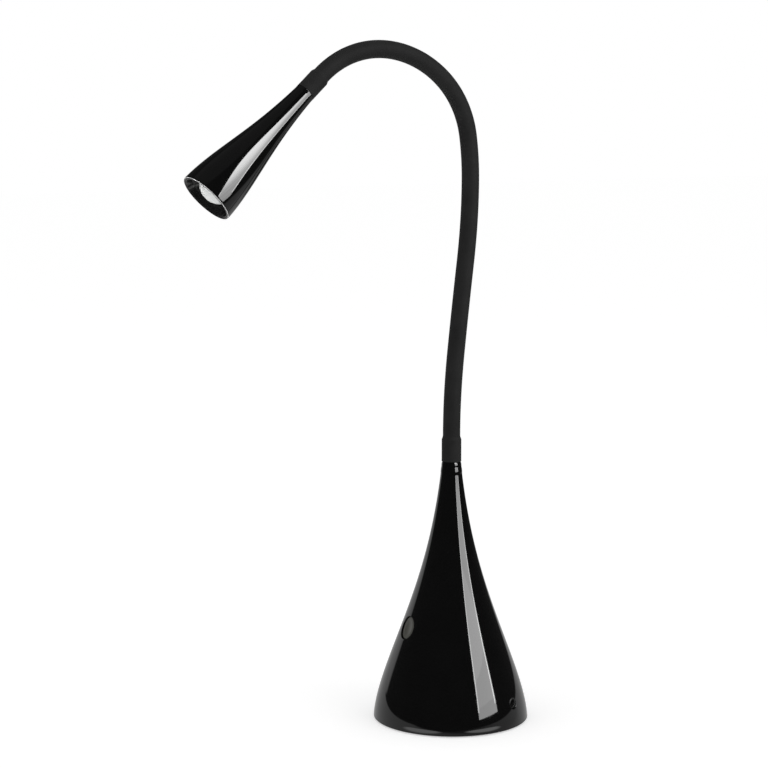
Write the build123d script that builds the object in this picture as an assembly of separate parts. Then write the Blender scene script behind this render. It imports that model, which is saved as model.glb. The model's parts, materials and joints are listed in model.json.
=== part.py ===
"""Gooseneck desk lamp: weighted bell base, sleeved gooseneck in four bending zones, bell head.

Millimetres. The origin is the centre of the foot's face, +Z is up, the neck bends in the XZ plane
and the head reaches towards -X.
"""
from build123d import *
import math
import os

# ---- fits shared by several pieces
RUNNING_GAP = 0.35        # between pieces that move against each other
ASSEMBLY_GAP = 0.2        # radial room around a piece that is dropped into another
CUT = 1.0                 # how far a cutting tool runs past what it cuts
MERGE = 0.5               # how far a feature reaches into the body that it is one with
ROUND_SHARE = 0.4         # the most of a wall that a rounded edge takes
ARC_SHARE = 0.45          # of a lead's shorter run, that the arc beside it takes

# ---- base shell: a bell that narrows to a straight collar
BASE_RADIUS = 57.5        # at the level of the table
BELL_HEIGHT = 190.0       # from the table to the foot of the collar
BELL_SPREAD = 114.0       # height over which the bell draws in
BELL_SHARPNESS = 1.58     # how square its shoulder is
COLLAR_RADIUS = 7.25
COLLAR_LENGTH = 4.65
BASE_WALL = 2.4
EDGE_LIFT = 0.8           # from the table to the shell's lower edge
EDGE_ROUND = 0.7

# ---- foot, plate and ballast
FOOT_THICKNESS = 2.0
FOOT_INSET = 2.5          # from the plate's edge to the pad's
FOOT_ROUND = 0.5
PLATE_GAP = 0.44          # from the shell's inner skin to the plate
PLATE_THICKNESS = 2.0
BALLAST_THICKNESS = 14.0
BALLAST_CHAMFER = 1.5
PLATE_BOSS_RADIUS = 3.6   # columns inside the shell that take the plate's screws
PLATE_BOSS_REACH = 40.0   # how high the columns run before the wall takes them in
PLATE_BOSS_MARGIN = 2.6   # from the wall of the cavity to a column's axis, at the plate
BALLAST_MARGIN = 2.0      # from the columns to the ballast
PLATE_SCREW_COUNT = 3
PLATE_SCREW_FIRST = 20.0  # degrees, where the first column stands
PLATE_SCREW_LENGTH = 12.0
BALLAST_SCREW_CIRCLE = 26.0
BALLAST_SCREW_LENGTH = 9.0
BALLAST_SCREW_FIRST = 0.0

# ---- countersunk and pan-head screws
SCREW_RADIUS = 1.5
SCREW_HEAD_RADIUS = 2.9
SCREW_HEAD_HEIGHT = 1.4
SMALL_SCREW_RADIUS = 1.0
SMALL_HEAD_RADIUS = 1.9
SMALL_HEAD_HEIGHT = 1.3
PAN_ROUND = 0.4           # of a pan head's height
CROSS_WIDTH = 0.3         # of the cross recess, by the head's height
CROSS_DEPTH = 0.5

# ---- driver board, upside down over its inlet
BOARD_THICKNESS = 1.6
BOARD_HOLE_RADIUS = 7.0
BOARD_POST_CIRCLE = 31.0
BOARD_POST_RADIUS = 3.2
BOARD_POST_FIRST = 10.0   # degrees
BOARD_SCREW_LENGTH = 6.5
CAPACITOR_RADIUS = 4.0
CAPACITOR_HEIGHT = 11.0
CAPACITOR_ROUND = 0.8
INDUCTOR_RADIUS = 5.0
INDUCTOR_HEIGHT = 5.5
INDUCTOR_CHAMFER = 1.0
CHIP_SIZE = (5.0, 4.0, 1.6)
CHIP_CIRCLE = 24.0
CHIP_ANGLES = (45.0, 75.0, 100.0)
TALL_PART_CIRCLE = 26.0
CAPACITOR_ANGLES = (200.0, 224.0)
INDUCTOR_ANGLE = 330.0
CONNECTOR_SIZE = (6.0, 7.0, 6.0)
LEAD_SOCKET_REACH = 12.0  # from the axis to the neck lead's socket, along +X
SWITCH_SOCKET_REACH = 15.0
SWITCH_LEAD_RADIUS = 1.0
SWITCH_LEAD_EXIT = 6.0    # straight run out of the switch's board
SWITCH_LEAD_LEVELS = (0.68, 0.36)   # of the drop to the socket, where the route bends
SWITCH_LEAD_LEAN = 1.5    # nearer the axis at the upper bend
BASE_LEAD_LEVELS = (0.22, 0.55)     # of the rise to the nut, where the route bends

# ---- low-voltage inlet
INLET_ANGLE = 295.5       # degrees round from +X
INLET_HEIGHT = 18.2
INLET_BARREL_RADIUS = 3.9
INLET_BORE_RADIUS = 3.0
INLET_PIN_RADIUS = 1.0
INLET_PIN_LENGTH = 8.5
INLET_PIN_ROUND = 0.6
INLET_WIDTH = 9.0
INLET_BODY_HEIGHT = 11.0
INLET_BODY_LENGTH = 12.0
INLET_BORE_DEPTH = 11.0
INLET_RECESS = 0.6        # from the shell's skin to the barrel's face
INLET_NOTCH_MARGIN = 1.5  # round the housing, in the ballast

# ---- push button on the base's flank
BUTTON_ANGLE = 174.0      # degrees round from +X
BUTTON_HEIGHT = 71.3
BUTTON_RADIUS = 8.25
BUTTON_RECESS = 0.5       # below the shell's skin
BUTTON_DISH_RADIUS = 24.0
BUTTON_DISH_DEPTH = 0.9
BUTTON_TRAVEL = 1.5
BUTTON_FLANGE = 1.6       # how far the flange stands out under the shell
BUTTON_FLANGE_THICKNESS = 1.5
BUTTON_NECK = 5.25        # depth of the shoulder that stops the flange
BUTTON_STOP_GAP = 0.1
BUTTON_CROWN = 3.4        # depth of the hollow's ceiling inside the cap
BUTTON_HOLLOW_RADIUS = 6.6
BUTTON_STEM_RADIUS = 2.0
BUTTON_BOSS_WALL = 1.9
SPRING_RADIUS = 4.6
SPRING_WIRE = 0.4
SPRING_TURNS = 4
GUIDE_PLATE = 1.6
GUIDE_DEPTH = 4.0         # of the cup behind the guide's plate
GUIDE_WALL = 2.3
SWITCH_EAR_RADIUS = 2.6
SWITCH_EAR_REACH = 14.4   # from the button's axis to the screws
SWITCH_SCREW_BITE = 2.6   # depth of thread in the shell's posts
TACT_SIZE = 6.0
TACT_HEIGHT = 3.5
TACT_PLUNGER_RADIUS = 1.7
TACT_PLUNGER_HEIGHT = 0.9

# ---- neck: a silicone sleeve over a chain of ball-ended tubular links
# the neck at rest, from the base: the length of each stretch and, in degrees, how far it turns
NECK_STRETCHES = (60.0, 70.0, 60.0, 30.0, 50.0, 50.0, 57.0)
NECK_TURNS = (-6.3, -1.0, 7.4, 8.2, 41.2, 36.0, 47.4)
HINGE_COUNT = 24
SLEEVE_RADIUS = 6.4
SLEEVE_WALL = 1.3
CUFF_RADIUS = 7.25        # over the ferrules
CUFF_LENGTH = 17.6
CUFF_STEP = 2.4           # length of the soft step at the cuff's inner end
LINK_RADIUS = 4.5
LINK_BORE = 2.3
BALL_RADIUS = 3.6
SOCKET_GAP = 0.25
SOCKET_LIP = 1.6          # how far a socket reaches past the ball's centre
LINK_NECK_RADIUS = 2.8
LINK_SHOULDER_START = 2.5
LINK_SHOULDER_END = 3.7
COIL_COUNT = 5            # rounded grooves between the turns of the wound core
COIL_GROOVE = 0.45
LEAD_RADIUS = 1.5
STRAIGHT_TURN = 0.01      # degrees; a stretch that turns less is a straight line

# ---- ferrules, washers and nuts, the same at both ends
STUD_RADIUS = 4.5
STUD_BORE = 2.4
NUT_FLATS = 11.0
NUT_THICKNESS = 4.0
WASHER_RADIUS = 6.3
WASHER_THICKNESS = 0.8
STUD_SPARE = 1.5          # thread past the nut

# ---- head shell: the base's shape again
HEAD_BELL = 103.0         # length of the bell, from the rim
HEAD_TAIL = 2.5           # length of the straight back end
HEAD_RADIUS = 20.15       # at the rim
HEAD_SPREAD = 65.0
HEAD_SHARPNESS = 1.82
HEAD_WALL = 1.6
RIM_ROUND = 0.5
LEDGE_DEPTH = 18.9        # from the rim to the ledge that the heat sink sits on
LEDGE_THICKNESS = 2.0
LEDGE_WIDTH = 2.4

# ---- what the head holds, by depth from the rim
RING_DEPTH = 0.8          # front of the black ring in the mouth
RING_LIP = 0.5            # thickness of the ring at its front
RING_STEP_DEPTH = 5.0
RING_STEP_RADIUS = 16.0
RING_STEP_WIDTH = 1.1
RING_INNER_RADIUS = 12.95
RING_SEAT_DEPTH = 8.4     # where the lens's flange bears on it
RING_SKIRT_WALL = 1.7
LENS_DEPTH = 0.9          # of the dome's top
LENS_SPHERE = 14.3
LENS_WALL = 1.8
LENS_DOME_RADIUS = 12.6
LENS_FLANGE_RADIUS = 14.4
LENS_FLANGE_THICKNESS = 1.2
LENS_FLANGE_BITE = 0.54   # how far the flange runs into the dome's wall
SPACER_WALL = 1.6
SINK_FLANGE = 3.0
SINK_CORE_RADIUS = 5.5
SINK_FIN_RADIUS = 12.4
SINK_FIN_LENGTH = 20.0
SINK_FIN_THICKNESS = 1.2
SINK_FIN_COUNT = 12
LED_BOARD_THICKNESS = 1.6
LED_RADIUS = 5.5
LED_HEIGHT = 1.0
LED_SCREW_CIRCLE = 9.5
LED_SCREW_LENGTH = 4.0

os.makedirs("parts", exist_ok=True)


def save(name, shape):
    """Write one sub-part."""
    export_step(shape, f"parts/{name}.step")


def direction(angle):
    """Unit vector, level, at an angle round from +X."""
    return Vector(math.cos(math.radians(angle)), math.sin(math.radians(angle)), 0)


def bell_radius(t, length, wide, narrow, spread, sharpness):
    """Radius of a bell at a distance t from its wide end, falling off like a soft shoulder."""
    end = math.exp(-((length / spread) ** sharpness))
    fall = math.exp(-((min(max(t, 0.0), length) / spread) ** sharpness))
    return narrow + (wide - narrow) * (fall - end) / (1 - end)


def base_radius(z):
    """Outer radius of the base shell at height z."""
    return bell_radius(z, BELL_HEIGHT, BASE_RADIUS, COLLAR_RADIUS, BELL_SPREAD, BELL_SHARPNESS)


def head_radius(depth):
    """Outer radius of the head shell at a depth from its rim."""
    return bell_radius(depth, HEAD_BELL, HEAD_RADIUS, COLLAR_RADIUS, HEAD_SPREAD, HEAD_SHARPNESS)


def slope(radius, t):
    """Change of a bell's radius along its length."""
    step = 0.01
    return (radius(t + step) - radius(t - step)) / (2 * step) if t > step else 0.0


def inner_point(radius, t, wall):
    """The point of a bell's inner skin that lies square across the wall from its outer point at t."""
    tilt = math.atan(-slope(radius, t))
    return radius(t) - wall * math.cos(tilt), t - wall * math.sin(tilt)


def inner_radius(radius, t, wall):
    """Radius of a bell's inner skin at t."""
    low, high = t, t + 2 * wall
    for _ in range(40):
        middle = (low + high) / 2
        if inner_point(radius, middle, wall)[1] < t:
            low = middle
        else:
            high = middle
    return inner_point(radius, high, wall)[0]


def level_with_room(radius, length, wall, room):
    """The furthest t at which a bell's cavity still has a given radius."""
    low, high = 0.0, length
    for _ in range(40):
        middle = (low + high) / 2
        if inner_radius(radius, middle, wall) > room:
            low = middle
        else:
            high = middle
    return low


PROFILE_POINTS = 14


def bell_solid(radius, start, stop, wall=0.0):
    """A solid bell between two levels, its skin a wall's thickness inside the outer one."""
    levels = [start + (stop - start) * i / PROFILE_POINTS for i in range(PROFILE_POINTS + 1)]
    if wall:
        points = [(inner_radius(radius, t, wall), t) for t in levels]
    else:
        points = [(radius(t), t) for t in levels]
    side = Spline(*points)
    bottom = Line((0, start), (points[0][0], start))
    top = Line((points[-1][0], stop), (0, stop))
    axis = Line((0, stop), (0, start))
    outline = make_face([bottom, side, top, axis])
    return revolve(Plane.XZ * outline, Axis.Z)


def cylinder(radius, bottom, top):
    """A cylinder on the local Z axis between two heights."""
    disc = Cylinder(radius, top - bottom, align=(Align.CENTER, Align.CENTER, Align.MIN))
    return Pos(0, 0, bottom) * disc


def tube(outer, inner, bottom, top):
    """A tube on the local Z axis."""
    return cylinder(outer, bottom, top) - cylinder(inner, bottom, top)


def turned(points):
    """A turned piece from the corners of its half section, given as (radius, height)."""
    outline = make_face(Polyline(*points, close=True))
    return revolve(Plane.XZ * outline, Axis.Z)


def pan_screw(radius, length, head_radius_, head_height):
    """A pan-head screw: its head stands on z = 0, its shank points down."""
    head = cylinder(head_radius_, 0, head_height)
    head = fillet(head.edges().group_by(Axis.Z)[-1], head_height * PAN_ROUND)
    width = head_height * CROSS_WIDTH
    cross = Box(head_radius_, width, head_height, align=(Align.CENTER, Align.CENTER, Align.MIN))
    slots = Pos(0, 0, head_height * (1 - CROSS_DEPTH)) * (cross + Rot(0, 0, 90) * cross)
    return head - slots + cylinder(radius, -length, 0)


def countersunk_screw(radius, length, head_radius_, head_height):
    """A countersunk screw: its head is flush with z = 0, its shank points up."""
    head = turned([(0, 0), (head_radius_, 0), (radius, head_height), (0, head_height)])
    return head + cylinder(radius, 0, length)


def hex_nut(across_flats, bore, thickness):
    """A hexagonal nut on z = 0."""
    corners = RegularPolygon(across_flats / 2, 6, major_radius=False)
    return extrude(corners, thickness) - cylinder(bore, 0, thickness)


def cable(points, radius):
    """A cable along hand-set points, straight runs joined by arcs as large as the runs allow."""
    points = [Vector(*p) for p in points]
    radii = []
    for before, here, after in zip(points, points[1:], points[2:]):
        turn = math.radians((here - before).get_angle(after - here))
        shorter = min((here - before).length, (after - here).length)
        radii.append(ARC_SHARE * shorter / math.tan(turn / 2))
    path = FilletPolyline(*points, radius=radii)
    section = Plane(origin=path @ 0, z_dir=path % 0) * Circle(radius)
    return sweep(section, path=path), radii


# ================================================================ levels in the base
plate_bottom = FOOT_THICKNESS
plate_top = plate_bottom + PLATE_THICKNESS
ballast_top = plate_top + BALLAST_THICKNESS
board_bottom = INLET_HEIGHT + INLET_BODY_HEIGHT / 2
board_top = board_bottom + BOARD_THICKNESS
collar_top = BELL_HEIGHT + COLLAR_LENGTH
cavity_at_plate = inner_radius(base_radius, plate_top, BASE_WALL)
plate_radius = inner_radius(base_radius, plate_bottom, BASE_WALL) - PLATE_GAP
plate_boss_circle = cavity_at_plate - PLATE_BOSS_MARGIN - PLATE_BOSS_RADIUS
ballast_radius = plate_boss_circle - PLATE_BOSS_RADIUS - BALLAST_MARGIN
nut_corner = NUT_FLATS / 2 / math.cos(math.radians(30))
nut_room = max(nut_corner, WASHER_RADIUS) + ASSEMBLY_GAP
base_seat = level_with_room(base_radius, BELL_HEIGHT, BASE_WALL, nut_room)
screw_hole = SCREW_RADIUS + ASSEMBLY_GAP / 2
small_hole = SMALL_SCREW_RADIUS + ASSEMBLY_GAP / 2
stud_hole = STUD_RADIUS + ASSEMBLY_GAP

# ================================================================ the button's own frame
# its Z axis points out of the shell, square to the skin; depths are counted inwards
button_skin = base_radius(BUTTON_HEIGHT)
button_tilt = math.degrees(math.atan(-slope(base_radius, BUTTON_HEIGHT)))
button_out = direction(BUTTON_ANGLE) * math.cos(math.radians(button_tilt))
button_out = button_out + Vector(0, 0, math.sin(math.radians(button_tilt)))
button_centre = direction(BUTTON_ANGLE) * button_skin + Vector(0, 0, BUTTON_HEIGHT)
button_level = direction(BUTTON_ANGLE + 90)
button_frame = Plane(origin=button_centre, x_dir=button_level, z_dir=button_out).location
button_hole = BUTTON_RADIUS + RUNNING_GAP
flange_radius = BUTTON_RADIUS + BUTTON_FLANGE
flange_room = flange_radius + RUNNING_GAP
flange_top = BUTTON_NECK + BUTTON_STOP_GAP
flange_bottom = flange_top + BUTTON_FLANGE_THICKNESS
guide_top = flange_bottom + BUTTON_TRAVEL + RUNNING_GAP + BUTTON_STOP_GAP
guide_bottom = guide_top + GUIDE_PLATE
switch_board_top = guide_bottom + GUIDE_DEPTH
switch_board_bottom = switch_board_top + BOARD_THICKNESS
boss_radius = flange_room + BUTTON_BOSS_WALL
tact_top = switch_board_top - TACT_HEIGHT
plunger_top = tact_top - TACT_PLUNGER_HEIGHT
stem_end = plunger_top - BUTTON_TRAVEL - BUTTON_STOP_GAP
ears = [Pos(side * SWITCH_EAR_REACH, 0, 0) for side in (-1, 1)]

# ================================================================ the inlet's own frame
# its Z axis points level out of the shell; depths are counted inwards from the skin
inlet_skin = base_radius(INLET_HEIGHT)
inlet_out = direction(INLET_ANGLE)
inlet_centre = inlet_out * inlet_skin + Vector(0, 0, INLET_HEIGHT)
inlet_frame = Plane(origin=inlet_centre, x_dir=direction(INLET_ANGLE + 90), z_dir=inlet_out).location
inlet_hole = INLET_BARREL_RADIUS + ASSEMBLY_GAP
# the housing's flat front clears the curved wall over its whole height
inlet_corner = inner_radius(base_radius, INLET_HEIGHT + INLET_BODY_HEIGHT / 2, BASE_WALL) - ASSEMBLY_GAP
inlet_front = inlet_skin - math.sqrt(inlet_corner**2 - (INLET_WIDTH / 2) ** 2) + ASSEMBLY_GAP
inlet_back = inlet_front + INLET_BODY_LENGTH


def around(count, first, circle):
    """Places at equal angles on a circle about Z."""
    return [Pos(direction(first + 360 / count * i) * circle) for i in range(count)]


plate_screw_places = around(PLATE_SCREW_COUNT, PLATE_SCREW_FIRST, plate_boss_circle)
ballast_screw_places = around(3, BALLAST_SCREW_FIRST, BALLAST_SCREW_CIRCLE)
board_post_places = around(3, BOARD_POST_FIRST, BOARD_POST_CIRCLE)


# ================================================================ base pieces
def make_base_shell():
    """Bell with its collar, the screw columns, the button's boss and the openings."""
    bell = bell_solid(base_radius, EDGE_LIFT, BELL_HEIGHT)
    collar = cylinder(COLLAR_RADIUS, BELL_HEIGHT, collar_top)
    skin = bell + collar
    cavity = bell_solid(base_radius, EDGE_LIFT, base_seat, BASE_WALL)
    shell = skin - cavity
    columns = [
        place * cylinder(PLATE_BOSS_RADIUS, plate_top, plate_top + PLATE_BOSS_REACH)
        for place in plate_screw_places
    ]
    boss = button_frame * cylinder(boss_radius, -guide_top, 0)
    posts = [button_frame * ear * cylinder(SWITCH_EAR_RADIUS, -guide_top, 0) for ear in ears]
    for extra in columns + [boss] + posts:
        shell = shell + (extra & bell)
    shell = shell - cylinder(stud_hole, base_seat - CUT, collar_top + CUT)
    for place in plate_screw_places:
        shell = shell - place * cylinder(SCREW_RADIUS, plate_top - CUT, plate_bottom + PLATE_SCREW_LENGTH)
    shell = shell - button_frame * cylinder(button_hole, -guide_top, boss_radius)
    shell = shell - button_frame * cylinder(flange_room, -guide_top - CUT, -BUTTON_NECK)
    for ear in ears:
        bite = cylinder(SMALL_SCREW_RADIUS, -guide_top - CUT, -guide_top + SWITCH_SCREW_BITE)
        shell = shell - button_frame * ear * bite
    shell = shell - inlet_frame * cylinder(inlet_hole, -2 * BASE_WALL - inlet_front, BASE_WALL)
    lower_rim = shell.edges().filter_by(GeomType.CIRCLE).group_by(Axis.Z)[0].sort_by(SortBy.RADIUS)[-1]
    return fillet(lower_rim, min(EDGE_ROUND, BASE_WALL * ROUND_SHARE))


def make_foot_pad():
    """Rubber pad under the plate."""
    pad = cylinder(plate_radius - FOOT_INSET, 0, plate_bottom)
    return fillet(pad.edges().group_by(Axis.Z)[0], min(FOOT_ROUND, FOOT_THICKNESS * ROUND_SHARE))


def make_base_plate():
    """Steel bottom plate with its countersunk holes."""
    plate = cylinder(plate_radius, plate_bottom, plate_top)
    for place in plate_screw_places + ballast_screw_places:
        sink = countersunk_screw(
            screw_hole, PLATE_THICKNESS + CUT, SCREW_HEAD_RADIUS + ASSEMBLY_GAP / 2, SCREW_HEAD_HEIGHT
        )
        plate = plate - place * Pos(0, 0, plate_bottom) * sink
    return plate


def make_plate_side_screws(places, length):
    """Countersunk screws that go up through the plate."""
    screw = countersunk_screw(SCREW_RADIUS, length, SCREW_HEAD_RADIUS, SCREW_HEAD_HEIGHT)
    return Compound([place * Pos(0, 0, plate_bottom) * screw for place in places])


def make_ballast():
    """Cast weight with posts for the board and a notch for the inlet."""
    weight = cylinder(ballast_radius, plate_top, ballast_top)
    weight = chamfer(weight.edges().group_by(Axis.Z)[-1], BALLAST_CHAMFER)
    for place in board_post_places:
        weight = weight + place * cylinder(BOARD_POST_RADIUS, ballast_top - CUT, board_bottom)
        weight = weight - place * cylinder(SCREW_RADIUS, board_top - BOARD_SCREW_LENGTH, board_bottom + CUT)
    for place in ballast_screw_places:
        weight = weight - place * cylinder(SCREW_RADIUS, plate_top - CUT, plate_bottom + BALLAST_SCREW_LENGTH)
    notch = Box(
        INLET_WIDTH + 2 * INLET_NOTCH_MARGIN,
        INLET_BODY_HEIGHT + 2 * INLET_NOTCH_MARGIN,
        INLET_BODY_LENGTH + INLET_NOTCH_MARGIN + inlet_skin,
        align=(Align.CENTER, Align.CENTER, Align.MIN),
    )
    return weight - inlet_frame * Pos(0, 0, -inlet_back - INLET_NOTCH_MARGIN) * notch


def make_driver_board():
    """Round board on the ballast's posts, as wide as the ballast."""
    board = tube(ballast_radius, BOARD_HOLE_RADIUS, board_bottom, board_top)
    for place in board_post_places:
        board = board - place * cylinder(screw_hole, board_bottom, board_top)
    return board


def make_driver_components():
    """What stands on the board: capacitors, a coil, chips and the two lead sockets."""
    pieces = []
    capacitor = cylinder(CAPACITOR_RADIUS, 0, CAPACITOR_HEIGHT)
    capacitor = fillet(capacitor.edges().group_by(Axis.Z)[-1], CAPACITOR_ROUND)
    for angle in CAPACITOR_ANGLES:
        pieces.append(Pos(direction(angle) * TALL_PART_CIRCLE) * capacitor)
    inductor = cylinder(INDUCTOR_RADIUS, 0, INDUCTOR_HEIGHT)
    inductor = chamfer(inductor.edges().group_by(Axis.Z)[-1], INDUCTOR_CHAMFER)
    pieces.append(Pos(direction(INDUCTOR_ANGLE) * TALL_PART_CIRCLE) * inductor)
    floor = (Align.CENTER, Align.CENTER, Align.MIN)
    for angle in CHIP_ANGLES:
        pieces.append(Pos(direction(angle) * CHIP_CIRCLE) * Box(*CHIP_SIZE, align=floor))
    socket = Box(*CONNECTOR_SIZE, align=floor)
    pieces.append(Pos(LEAD_SOCKET_REACH, 0, 0) * socket)
    pieces.append(Pos(direction(BUTTON_ANGLE) * SWITCH_SOCKET_REACH) * socket)
    return Compound([Pos(0, 0, board_top) * piece for piece in pieces])


def make_inlet():
    """Moulded inlet: a square housing under the board and a round barrel in the shell's hole."""
    housing = Box(
        INLET_WIDTH, INLET_BODY_HEIGHT, INLET_BODY_LENGTH, align=(Align.CENTER, Align.CENTER, Align.MAX)
    )
    body = Pos(0, 0, -inlet_front) * housing
    body = body + cylinder(INLET_BARREL_RADIUS, -inlet_front - MERGE, -INLET_RECESS)
    body = body - cylinder(INLET_BORE_RADIUS, -INLET_RECESS - INLET_BORE_DEPTH, 0)
    return inlet_frame * body


def make_inlet_pin():
    """Centre pin, standing on the bottom of the inlet's bore."""
    bottom = -INLET_RECESS - INLET_BORE_DEPTH
    pin = cylinder(INLET_PIN_RADIUS, bottom, bottom + INLET_PIN_LENGTH)
    return inlet_frame * fillet(pin.edges().group_by(Axis.Z)[-1], INLET_PIN_ROUND)


# ================================================================ button and switch
def make_button():
    """Cap with its flange, hollow below, and the stem that works the switch."""
    cap = button_frame * cylinder(BUTTON_RADIUS, -flange_bottom, BUTTON_RADIUS)
    cap = cap & bell_solid(base_radius, EDGE_LIFT, base_seat, BUTTON_RECESS)
    flange = cylinder(flange_radius, -flange_bottom, -flange_top)
    cap = cap + button_frame * flange
    dish = Pos(0, 0, BUTTON_DISH_RADIUS - BUTTON_RECESS - BUTTON_DISH_DEPTH) * Sphere(BUTTON_DISH_RADIUS)
    hollow = cylinder(BUTTON_HOLLOW_RADIUS, -flange_bottom - CUT, -BUTTON_CROWN)
    stem = cylinder(BUTTON_STEM_RADIUS, -stem_end, -BUTTON_CROWN + MERGE)
    return cap - button_frame * dish - button_frame * hollow + button_frame * stem


def make_spring():
    """Return spring between the cap's hollow and the guide."""
    bottom = -guide_top + SPRING_WIRE
    top = -BUTTON_CROWN - SPRING_WIRE
    height = top - bottom
    helix = Helix(height / SPRING_TURNS, height, SPRING_RADIUS)
    section = Plane(origin=helix @ 0, z_dir=helix % 0) * Circle(SPRING_WIRE)
    return button_frame * Pos(0, 0, bottom) * sweep(section, path=helix, is_frenet=True)


def make_guide():
    """Plate that guides the stem, with a cup behind it for the switch."""
    outer = boss_radius
    guide = cylinder(outer, -switch_board_top, -guide_top)
    guide = guide - cylinder(outer - GUIDE_WALL, -switch_board_top - CUT, -guide_bottom)
    guide = guide - cylinder(BUTTON_STEM_RADIUS + RUNNING_GAP, -guide_bottom - CUT, -guide_top + CUT)
    for ear in ears:
        guide = guide + ear * cylinder(SWITCH_EAR_RADIUS, -switch_board_top, -guide_top)
    for ear in ears:
        guide = guide - ear * cylinder(small_hole, -switch_board_top - CUT, -guide_top + CUT)
    return button_frame * guide


def make_switch_board():
    """Small board behind the guide."""
    board = cylinder(boss_radius, -switch_board_bottom, -switch_board_top)
    for ear in ears:
        board = board + ear * cylinder(SWITCH_EAR_RADIUS, -switch_board_bottom, -switch_board_top)
    for ear in ears:
        board = board - ear * cylinder(small_hole, -switch_board_bottom, -switch_board_top)
    return button_frame * board


def make_tact_switch():
    """Push switch on the board, its plunger under the stem."""
    body = Box(TACT_SIZE, TACT_SIZE, TACT_HEIGHT, align=(Align.CENTER, Align.CENTER, Align.MAX))
    body = Pos(0, 0, -tact_top) * body
    return button_frame * (body + cylinder(TACT_PLUNGER_RADIUS, -tact_top - MERGE, -plunger_top))


def make_switch_screws():
    """Two screws through board and guide into the shell's posts."""
    length = switch_board_bottom - guide_top + SWITCH_SCREW_BITE - ASSEMBLY_GAP
    screw = Rot(180, 0, 0) * pan_screw(SMALL_SCREW_RADIUS, length, SMALL_HEAD_RADIUS, SMALL_HEAD_HEIGHT)
    return Compound([button_frame * ear * Pos(0, 0, -switch_board_bottom) * screw for ear in ears])


# ================================================================ neck
link_pitch = sum(NECK_STRETCHES) / HINGE_COUNT
half_pitch = link_pitch / 2
socket_radius = BALL_RADIUS + SOCKET_GAP
ferrule_radius = CUFF_RADIUS - SLEEVE_WALL
neck_start = collar_top + CUFF_LENGTH


def heading(distance):
    """Direction of the neck in degrees from upright, towards the head, at a distance along it."""
    turned_so_far = 0.0
    for length, turn in zip(NECK_STRETCHES, NECK_TURNS):
        if distance <= length:
            return turned_so_far + turn * distance / length
        turned_so_far += turn
        distance -= length
    return turned_so_far


def towards(angle):
    """Unit vector in the neck's plane at a heading."""
    return Vector(-math.sin(math.radians(angle)), 0, math.cos(math.radians(angle)))


link_headings = [heading(link_pitch * k) for k in range(HINGE_COUNT + 1)]
hinges = [Vector(0, 0, neck_start) + towards(link_headings[0]) * half_pitch]
for k in range(1, HINGE_COUNT):
    hinges.append(hinges[-1] + towards(link_headings[k]) * link_pitch)
neck_end = hinges[-1] + towards(link_headings[-1]) * half_pitch
head_axis = towards(link_headings[-1])
head_back = neck_end + head_axis * CUFF_LENGTH
across = Vector(0, 1, 0)


def frame_at(point, axis):
    """A frame at a point of the neck whose Z axis runs on towards the head."""
    return Plane(origin=point, x_dir=across, z_dir=axis).location


def ball_end():
    """Half section of a link's ball end, from the bore round the ball to the shoulder."""
    low = -math.sqrt(BALL_RADIUS**2 - LINK_BORE**2)
    neck = math.sqrt(BALL_RADIUS**2 - LINK_NECK_RADIUS**2)
    return low, neck


def link_profile(top, groove_count):
    """Half section of a link from its ball to the level top, without its socket."""
    low, neck = ball_end()
    lines = [
        ThreePointArc((LINK_BORE, low), (BALL_RADIUS, 0), (LINK_NECK_RADIUS, neck)),
        Line((LINK_NECK_RADIUS, neck), (LINK_NECK_RADIUS, LINK_SHOULDER_START)),
        Line((LINK_NECK_RADIUS, LINK_SHOULDER_START), (LINK_RADIUS, LINK_SHOULDER_END)),
    ]
    level = LINK_SHOULDER_END
    pitch = (top - level) / (groove_count + 0.5)
    for _ in range(groove_count):
        turn_end = level + pitch * 0.5
        groove_end = level + pitch
        lines.append(Line((LINK_RADIUS, level), (LINK_RADIUS, turn_end)))
        bottom = (LINK_RADIUS - COIL_GROOVE, (turn_end + groove_end) / 2)
        lines.append(ThreePointArc((LINK_RADIUS, turn_end), bottom, (LINK_RADIUS, groove_end)))
        level = groove_end
    lines.append(Line((LINK_RADIUS, level), (LINK_RADIUS, top)))
    lines.append(Line((LINK_RADIUS, top), (LINK_BORE, top)))
    lines.append(Line((LINK_BORE, top), (LINK_BORE, low)))
    return make_face(lines)


def socket_hollow(centre):
    """What a socket leaves free round the next link's ball."""
    return Pos(0, 0, centre) * Sphere(socket_radius)


def make_link():
    """One link in its own frame: ball at the origin, socket a pitch further up."""
    body = revolve(Plane.XZ * link_profile(link_pitch + SOCKET_LIP, COIL_COUNT), Axis.Z)
    return body - socket_hollow(link_pitch)


def make_lower_ferrule():
    """Stud in the collar, seat of the cuff, and the first socket."""
    stud_end = base_seat - WASHER_THICKNESS - NUT_THICKNESS - STUD_SPARE
    first = neck_start + half_pitch
    body = cylinder(STUD_RADIUS, stud_end, collar_top)
    body = body + cylinder(ferrule_radius, collar_top, neck_start - CUFF_STEP)
    body = body + cylinder(LINK_RADIUS, neck_start - CUFF_STEP, first + SOCKET_LIP)
    body = body - cylinder(STUD_BORE, stud_end - CUT, first)
    return body - socket_hollow(first)


def make_upper_ferrule():
    """Last ball, seat of the cuff, and the stud in the head; placed at the last hinge."""
    cuff_start = half_pitch + CUFF_STEP
    shoulder = half_pitch + CUFF_LENGTH
    stud_end = shoulder + head_seat + WASHER_THICKNESS + NUT_THICKNESS + STUD_SPARE
    body = revolve(Plane.XZ * link_profile(cuff_start, 1), Axis.Z)
    body = body + cylinder(ferrule_radius, cuff_start, shoulder) + cylinder(STUD_RADIUS, shoulder, stud_end)
    body = body - cylinder(LINK_BORE, 0, stud_end + CUT)
    return frame_at(hinges[-1], head_axis) * body


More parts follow.
